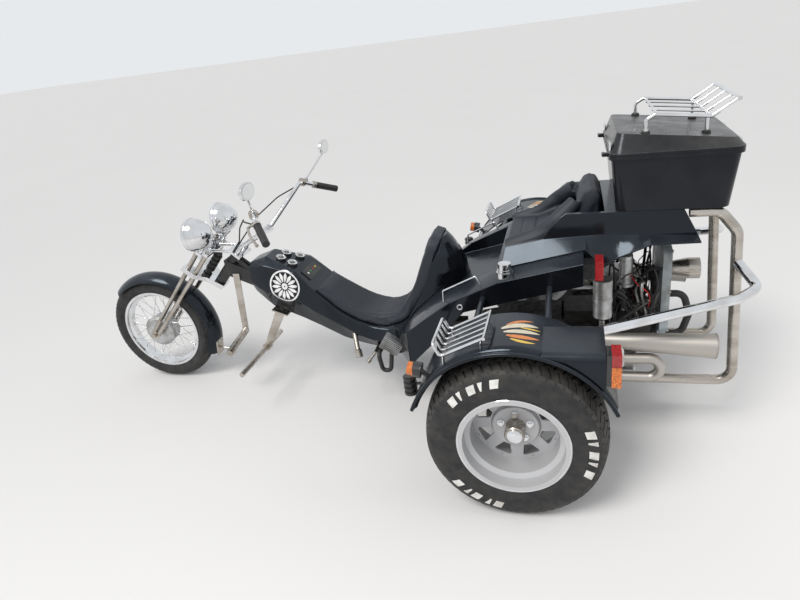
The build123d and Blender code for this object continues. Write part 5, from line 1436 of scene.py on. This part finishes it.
@dataclass
class EngineBay:
    """The engine's wires, plug boots, distributor and bolts, and the tangle of thin hoses.

    wires gives each wire as its radius in mm, its finish and its points in mm. The tangle's hoses
    start low in tangle_box, wander step by step inside it and end under it, all in mm. above,
    beside and the two behind are places off the engine, in mm, from which trim is set down on it.
    """

    wires: tuple = (
        (3.5, RUBBER, ((-300, 300, 420), (-318, 260, 470), (-350, 180, 540), (-420, 90, 560),
                       (-470, 40, 520))),
        (3.5, RUBBER, ((-364, 300, 420), (-372, 262, 478), (-390, 190, 560), (-440, 100, 580),
                       (-480, 30, 524))),
        (3.5, RUBBER, ((-300, -300, 420), (-318, -260, 470), (-350, -180, 545),
                       (-420, -80, 570), (-474, -20, 520))),
        (3.5, RUBBER, ((-364, -300, 420), (-372, -262, 478), (-390, -180, 565),
                       (-440, -90, 585), (-486, -24, 524))),
        (3.0, RUBBER, ((-400, 250, 700), (-430, 215, 720), (-480, 200, 690), (-520, 210, 620),
                       (-545, 220, 560))),
        (2.6, RUBBER, ((-380, 280, 640), (-410, 262, 620), (-450, 250, 560), (-470, 240, 500),
                       (-440, 215, 468))),
        (4.5, RUBBER, ((-500, 120, 700), (-520, 165, 730), (-540, 190, 700), (-548, 200, 640),
                       (-530, 205, 590), (-470, 190, 560))),
        (2.4, RED_CAP, ((-440, 165, 690), (-462, 205, 655), (-500, 225, 640), (-520, 230, 600),
                        (-512, 215, 560))),
    )
    plugs: tuple = ((-300, 300), (-364, 300), (-300, -300), (-364, -300))
    boot: Profile = ((-0.002, 0.011), (0.01, 0.011), (0.014, 0.008), (0.028, 0.007), (0.03, 0.0))
    tangle: int = 30
    tangle_seed: int = 41
    tangle_box: tuple = ((-552, -340), (-190, 235), (500, 770))
    tangle_start: float = 60.0
    tangle_steps: tuple[int, int] = (4, 6)
    tangle_step: float = 75.0
    tangle_rise: Span = (-20.0, 55.0)
    tangle_end: Span = (20.0, 50.0)
    tangle_radii: tuple = (0.0022, 0.003, 0.0042, 0.0065, 0.009)
    bare_every: int = 6
    stand: Xyz = (-470, 20, 600)
    stem: Profile = ((-0.004, 0.02), (0.03, 0.02), (0.034, 0.03), (0.05, 0.031))
    cap: Profile = ((0.049, 0.032), (0.064, 0.031), (0.072, 0.024), (0.074, 0.0))
    fan_bolts: tuple = ((-155, 415), (155, 415), (-155, 780), (155, 780), (-158, 600), (158, 600),
                        (-70, 785), (70, 785))
    cover_bolts: tuple = ((-386, -332, -278), (340, 404))
    above: float = 520.0
    beside: float = 600.0
    behind_fan: float = -900.0
    behind_pulley: float = -1000.0
    pulley_bolts: tuple = (385, 575)
    small_bolt: Span = (0.005, 0.005)
    large_bolt: Span = (0.014, 0.009)

    def build(self) -> None:
        """Makes everything in the engine bay."""
        for index, (radius, finish, points) in enumerate(self.wires, 1):
            tube_wire(f"engine_wire_{index}", points, radius / 1000, finish)
        boots = bmesh.new()
        skin = Skin("cylinder_heads", "cylinders")
        for x, y in self.plugs:
            skin.turned(boots, at(x, y, self.above), UP, self.boot, 20)
        finished("spark_plug_boots", boots, RUBBER, Body.CHASSIS)
        self.loose_harness()
        self.bolts()
        case = Skin("crankcase")
        for name, profile, finish in (("body", self.stem, ALUMINIUM), ("cap", self.cap, RED_CAP)):
            shape = bmesh.new()
            case.turned(shape, at(*self.stand), UP, profile, 32)
            finished(f"distributor_{name}", shape, finish, Body.CHASSIS)

    def loose_harness(self) -> None:
        """Fills the bay with the hoses and wires that run every way over the engine."""
        draw = random.Random(self.tangle_seed)
        (x0, x1), (y0, y1), (z0, z1) = self.tangle_box
        step = self.tangle_step
        for index in range(self.tangle):
            place = [draw.uniform(x0, x1), draw.uniform(y0, y1),
                     draw.uniform(z0, z0 + self.tangle_start)]
            points = [tuple(place)]
            for _ in range(draw.randint(*self.tangle_steps)):
                place = [min(max(part + draw.uniform(-step, step), low), high)
                         for part, (low, high) in zip(place, self.tangle_box)]
                place[2] = min(z1, place[2] + draw.uniform(*self.tangle_rise))
                points.append(tuple(place))
            points.append((draw.uniform(x0, x1), draw.uniform(y0, y1),
                           z0 - draw.uniform(*self.tangle_end)))
            radius = draw.choice(self.tangle_radii)
            tube_wire(f"bay_hose_{index + 1:02d}", points, radius,
                      RUBBER if index % self.bare_every else ALUMINIUM)

    def bolts(self) -> None:
        """Puts bolts on the fan housing, the head covers and the pulley."""
        shape = bmesh.new()
        fan = Skin("fan_housing")
        for y, z in self.fan_bolts:
            fan.stubs(shape, at(self.behind_fan, y, z), BACK, bolt())
        covers = Skin("cylinder_heads")
        for side in (1, -1):
            for x in self.cover_bolts[0]:
                for z in self.cover_bolts[1]:
                    covers.stubs(shape, at(x, side * self.beside, z), Vector((0, side, 0)),
                                 bolt(*self.small_bolt))
        pulley = Skin("crank_pulley", "fan_housing")
        for z in self.pulley_bolts:
            pulley.stubs(shape, at(self.behind_pulley, 0, z), BACK,
                         bolt(*self.large_bolt))
        finished("engine_bolts", shape, STAINLESS, Body.CHASSIS, 30.0)


@dataclass
class Fittings:
    """The exhausts' weld beads, the tub's chrome eyes and the front brake's cable.

    The megaphone's start and end are in mm on the left side, and beads gives each bead as its way
    along the megaphone and its radius, in metres.
    """

    megaphone: tuple = ((-290, 368, 483), (-748, 368, 462))
    beads: tuple = ((0.003, 0.0292), (0.456, 0.0498))
    bead_height: float = 0.0016
    eye_place: Xyz = (248, 700, 650)
    eye: Profile = ((-0.001, 0.0135), (0.003, 0.0135), (0.0045, 0.0105), (0.003, 0.0075),
                    (-0.001, 0.0072))
    cable: tuple = ((1566, 72, 905), (1622, 104, 856), (1700, 107, 768), (1900, 107, 552),
                    (2020, 104, 424), (2066, 88, 396), (2090, 60, 386))
    cable_radius: float = 0.003

    def build(self) -> None:
        """Makes the beads, the eyes and the cable."""
        beads, eyes = bmesh.new(), bmesh.new()
        tub = Skin("body_tub")
        for side in (1, -1):
            start, end = (at(x, side * y, z) for x, y, z in self.megaphone)
            axis = (end - start).normalized()
            for way, radius in self.beads:
                proud = radius + self.bead_height
                spun(beads, ((-0.003, radius), (-0.0015, proud), (0.0015, proud),
                             (0.003, radius)), start + axis * way, axis, 48)
            x, y, z = self.eye_place
            tub.turned(eyes, at(x, side * y, z), Vector((0, side, 0)), self.eye, 32,
                       upright=False)
        finished("exhaust_weld_beads", beads, EXHAUST, Body.CHASSIS)
        finished("tub_eyes", eyes, CHROME, Body.CHASSIS)
        tube_wire("front_brake_cable", self.cable, self.cable_radius, RUBBER, Body.STEERING)


@dataclass
class CaseTrim:
    """The top case's hardware: rack collars, hinge plates, latches and their keepers.

    posts and above, over the case, are in mm. Each pair of blocks is its name, its body, whether
    its x counts from the axle and not from the lid's rear, its x, its middle across and half
    width, its z, and its rounding, in metres.
    """

    posts: tuple = ((-686, 150), (-686, -150), (-470, 205), (-470, -205))
    above: float = 1300.0
    collar: Profile = ((-0.003, 0.0165), (0.006, 0.016), (0.009, 0.0125), (0.0095, 0.0075))
    pairs: tuple = (
        ("lid_hinge_plates", Body.LID, True, (-0.3485, -0.3425), (0.2, 0.026), (1.222, 1.25),
         0.0012),
        ("case_latches", Body.CHASSIS, False, (-0.004, 0.01), (0.14, 0.018), (1.16, 1.1885),
         0.002),
        ("lid_keepers", Body.LID, False, (-0.004, 0.006), (0.14, 0.013), (1.2035, 1.222), 0.002),
    )

    def build(self) -> None:
        """Makes the hardware."""
        collars = bmesh.new()
        lid = Skin("top_case_lid")
        for x, y in self.posts:
            lid.turned(collars, at(x, y, self.above), UP, self.collar, 28)
        finished("rack_collars", collars, RUBBER, Body.LID)
        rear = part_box("top_case_lid")[0].x
        for name, body, from_axle, (x0, x1), (y, half), (z0, z1), round_by in self.pairs:
            zero = AXLE_X if from_axle else rear
            shape = bmesh.new()
            for side in (-1, 1):
                slab(shape, Vector((zero + x0, side * y - half, z0)),
                     Vector((zero + x1, side * y + half, z1)), round_by)
            finished(name, shape, CHROME, body, 30.0)


@dataclass
class Studio:
    """The floor, the light and the camera. Places are in metres, the eye's from the rear axle."""

    yaw: float = math.radians(18.03)
    pitch: float = math.radians(24.75)
    roll: float = math.radians(-7.98)
    eye: Xyz = (-0.208, 2.598, 1.749)
    lens: float = 26.53
    sensor: float = 36.0
    floor_size: float = 160.0
    floor_drop: float = 0.0005
    floor_colour: Rgb = (0.68, 0.67, 0.66)
    floor_drift: float = 1.04
    floor_noise: Span = (0.6, 3.0)
    floor_roughness: float = 0.85
    sky_light: float = 0.62
    sky_colour: tuple = (0.93, 0.96, 1.0, 1)
    seen_colour: tuple = (0.8, 0.82, 0.84, 1)
    sun_power: float = 1.7
    sun_width: float = math.radians(24)
    sun_colour: Rgb = (1.0, 0.98, 0.95)
    sun_way: Xyz = (-0.35, -0.55, -1.0)
    panels: tuple = (("left_panel", (0.6, 3.4, 3.0), 2.0, 46.0),
                     ("rear_panel", (-3.6, 0.4, 2.4), 1.8, 26.0))
    panel_target: Xyz = (0, 0, 0.6)

    def build(self) -> None:
        """Makes everything in the studio."""
        self.camera()
        self.floor()
        self.lamps()
        self.world()
        bpy.context.scene.view_settings.view_transform = "Standard"

    def camera(self) -> None:
        """Puts the camera where the photograph was taken."""
        flat = math.cos(self.pitch)
        ahead = Vector((math.sin(self.yaw) * flat, -math.cos(self.yaw) * flat,
                        -math.sin(self.pitch)))
        level = Vector((-math.cos(self.yaw), -math.sin(self.yaw), 0.0))
        over = level.cross(ahead)
        across = level * math.cos(self.roll) + over * math.sin(self.roll)
        upward = over * math.cos(self.roll) - level * math.sin(self.roll)
        data = bpy.data.cameras.new("photo_camera")
        data.sensor_width = self.sensor
        data.lens = self.lens
        camera = shown("photo_camera", data)
        turn = Matrix((across, upward, -ahead)).transposed().to_4x4()
        eye = Vector(self.eye) + Vector((AXLE_X, 0, 0))
        camera.matrix_world = Matrix.Translation(eye) @ turn
        bpy.context.scene.camera = camera

    def floor(self) -> None:
        """Lays the plain floor."""
        shape = bmesh.new()
        bmesh.ops.create_grid(shape, x_segments=1, y_segments=1, size=self.floor_size / 2)
        bmesh.ops.translate(shape, verts=shape.verts, vec=(0, 0, -self.floor_drop))
        mesh = bpy.data.meshes.new("floor")
        shape.to_mesh(mesh)
        shape.free()
        floor = shown("floor", mesh)
        graph = Graph("plain_floor")
        graph.set(Roughness=self.floor_roughness)
        drift = graph.noise(*self.floor_noise)
        pale = tuple(part * self.floor_drift for part in self.floor_colour)
        graph.link(graph.mix(drift, self.floor_colour, pale), "Base Color")
        mesh.materials.append(graph.material)

    def lamps(self) -> None:
        """Hangs a wide soft sun, and two panels of light that no gloss shows."""
        data = bpy.data.lights.new("sun", "SUN")
        data.energy = self.sun_power
        data.angle = self.sun_width
        data.color = self.sun_colour
        sun = shown("sun", data)
        sun.rotation_euler = Vector(self.sun_way).to_track_quat("-Z", "Y").to_euler()
        for name, place, size, power in self.panels:
            data = bpy.data.lights.new(name, "AREA")
            data.energy = power
            data.size = size
            lamp = shown(name, data)
            lamp.visible_glossy = False
            lamp.location = place
            way = Vector(self.panel_target) - lamp.location
            lamp.rotation_euler = way.to_track_quat("-Z", "Y").to_euler()

    def world(self) -> None:
        """Gives an even sky for light, and a pale one where camera, metal and glass look."""
        world = bpy.data.worlds.new("pale_sky")
        world.use_nodes = True
        bpy.context.scene.world = world
        tree = world.node_tree
        lit = tree.nodes["Background"]
        lit.inputs["Color"].default_value = self.sky_colour
        lit.inputs["Strength"].default_value = self.sky_light
        seen = tree.nodes.new("ShaderNodeBackground")
        seen.inputs["Color"].default_value = self.seen_colour
        path = tree.nodes.new("ShaderNodeLightPath")
        total = path.outputs["Is Camera Ray"]
        for ray in ("Is Glossy Ray", "Is Transmission Ray"):
            add = tree.nodes.new("ShaderNodeMath")
            add.operation = "MAXIMUM"
            tree.links.new(total, add.inputs[0])
            tree.links.new(path.outputs[ray], add.inputs[1])
            total = add.outputs[0]
        mix = tree.nodes.new("ShaderNodeMixShader")
        tree.links.new(total, mix.inputs["Fac"])
        tree.links.new(lit.outputs[0], mix.inputs[1])
        tree.links.new(seen.outputs[0], mix.inputs[2])
        tree.links.new(mix.outputs[0], tree.nodes["World Output"].inputs["Surface"])


REAR_TYRE_PROFILE = (
    (117.7, 191.2), (117.7, 207.8), (123.0, 226.0), (127.0, 245.0), (128.0, 262.0),
    (126.4, 282.0), (122.5, 298.0), (115.0, 311.0), (106.0, 316.0), (80.0, 322.0),
    (40.0, 327.0), (0.0, 328.5),
)
REAR_TREAD = (
    (-20, 20, 60, 4.0), (24, 58, 60, -3.0), (-24, -58, 60, -3.0), (62, 110, 60, 3.0),
    (-62, -110, 60, 3.0), (108, 121, 60, 0.0), (-108, -121, 60, 0.0),
)
REAR_TREAD_SIZES = (6.0, 336.0, (112.0, 318.0))
WHITE_GROUPS = (62.0, 182.0, 302.0)
FRONT_TYRE_PROFILE = (
    (30.7, 233.0), (30.7, 241.5), (40.5, 256.0), (46.0, 274.0), (44.6, 288.0), (37.5, 298.0),
    (24.0, 307.0), (0.0, 312.5),
)
FRONT_TREAD = ((-9, 9, 64, 2.0), (12, 36, 64, 3.4), (-12, -36, 64, 3.4))
FRONT_TREAD_SIZES = (3.5, 317.0, (38.0, 300.0))


def dress_nodes() -> None:
    """Gives every CAD node its slot's finish, or its own."""
    slots = {row["node"]: row["material_slot"] for row in frame["record"]["subparts"]}
    for name, node in frame["nodes"].items():
        finish = NODE_FINISH.get(name) or SLOT_FINISH.get(slots.get(name), STAINLESS)
        for slot in node.material_slots:
            slot.material = finish.material()
    log.info("%d nodes dressed", len(slots))


def main() -> None:
    """Builds the studio and dresses the trike, in order."""
    logging.basicConfig(level=logging.INFO, format="%(name)s %(message)s")
    Studio().build()
    dress_nodes()
    Panels().build()
    DriverSeat().build()
    PassengerSeat().build()
    for side, name, body in ((1, "left", Body.REAR_LEFT), (-1, "right", Body.REAR_RIGHT)):
        Tyre(f"rear_tyre_{name}", body, REAR_TYRE_PROFILE, REAR_TREAD, *REAR_TREAD_SIZES,
             WHITE_GROUPS, side).build()
        RearWheelTrim(side, body).build()
    Tyre("front_tyre", Body.FRONT_WHEEL, FRONT_TYRE_PROFILE, FRONT_TREAD,
         *FRONT_TREAD_SIZES).build()
    for assembly in (NoseEmblem, FenderFlourish, Dash, Lamps, MirrorFaces, EngineBay, Fittings,
                     CaseTrim):
        assembly().build()


if __name__ == "__main__":
    main()
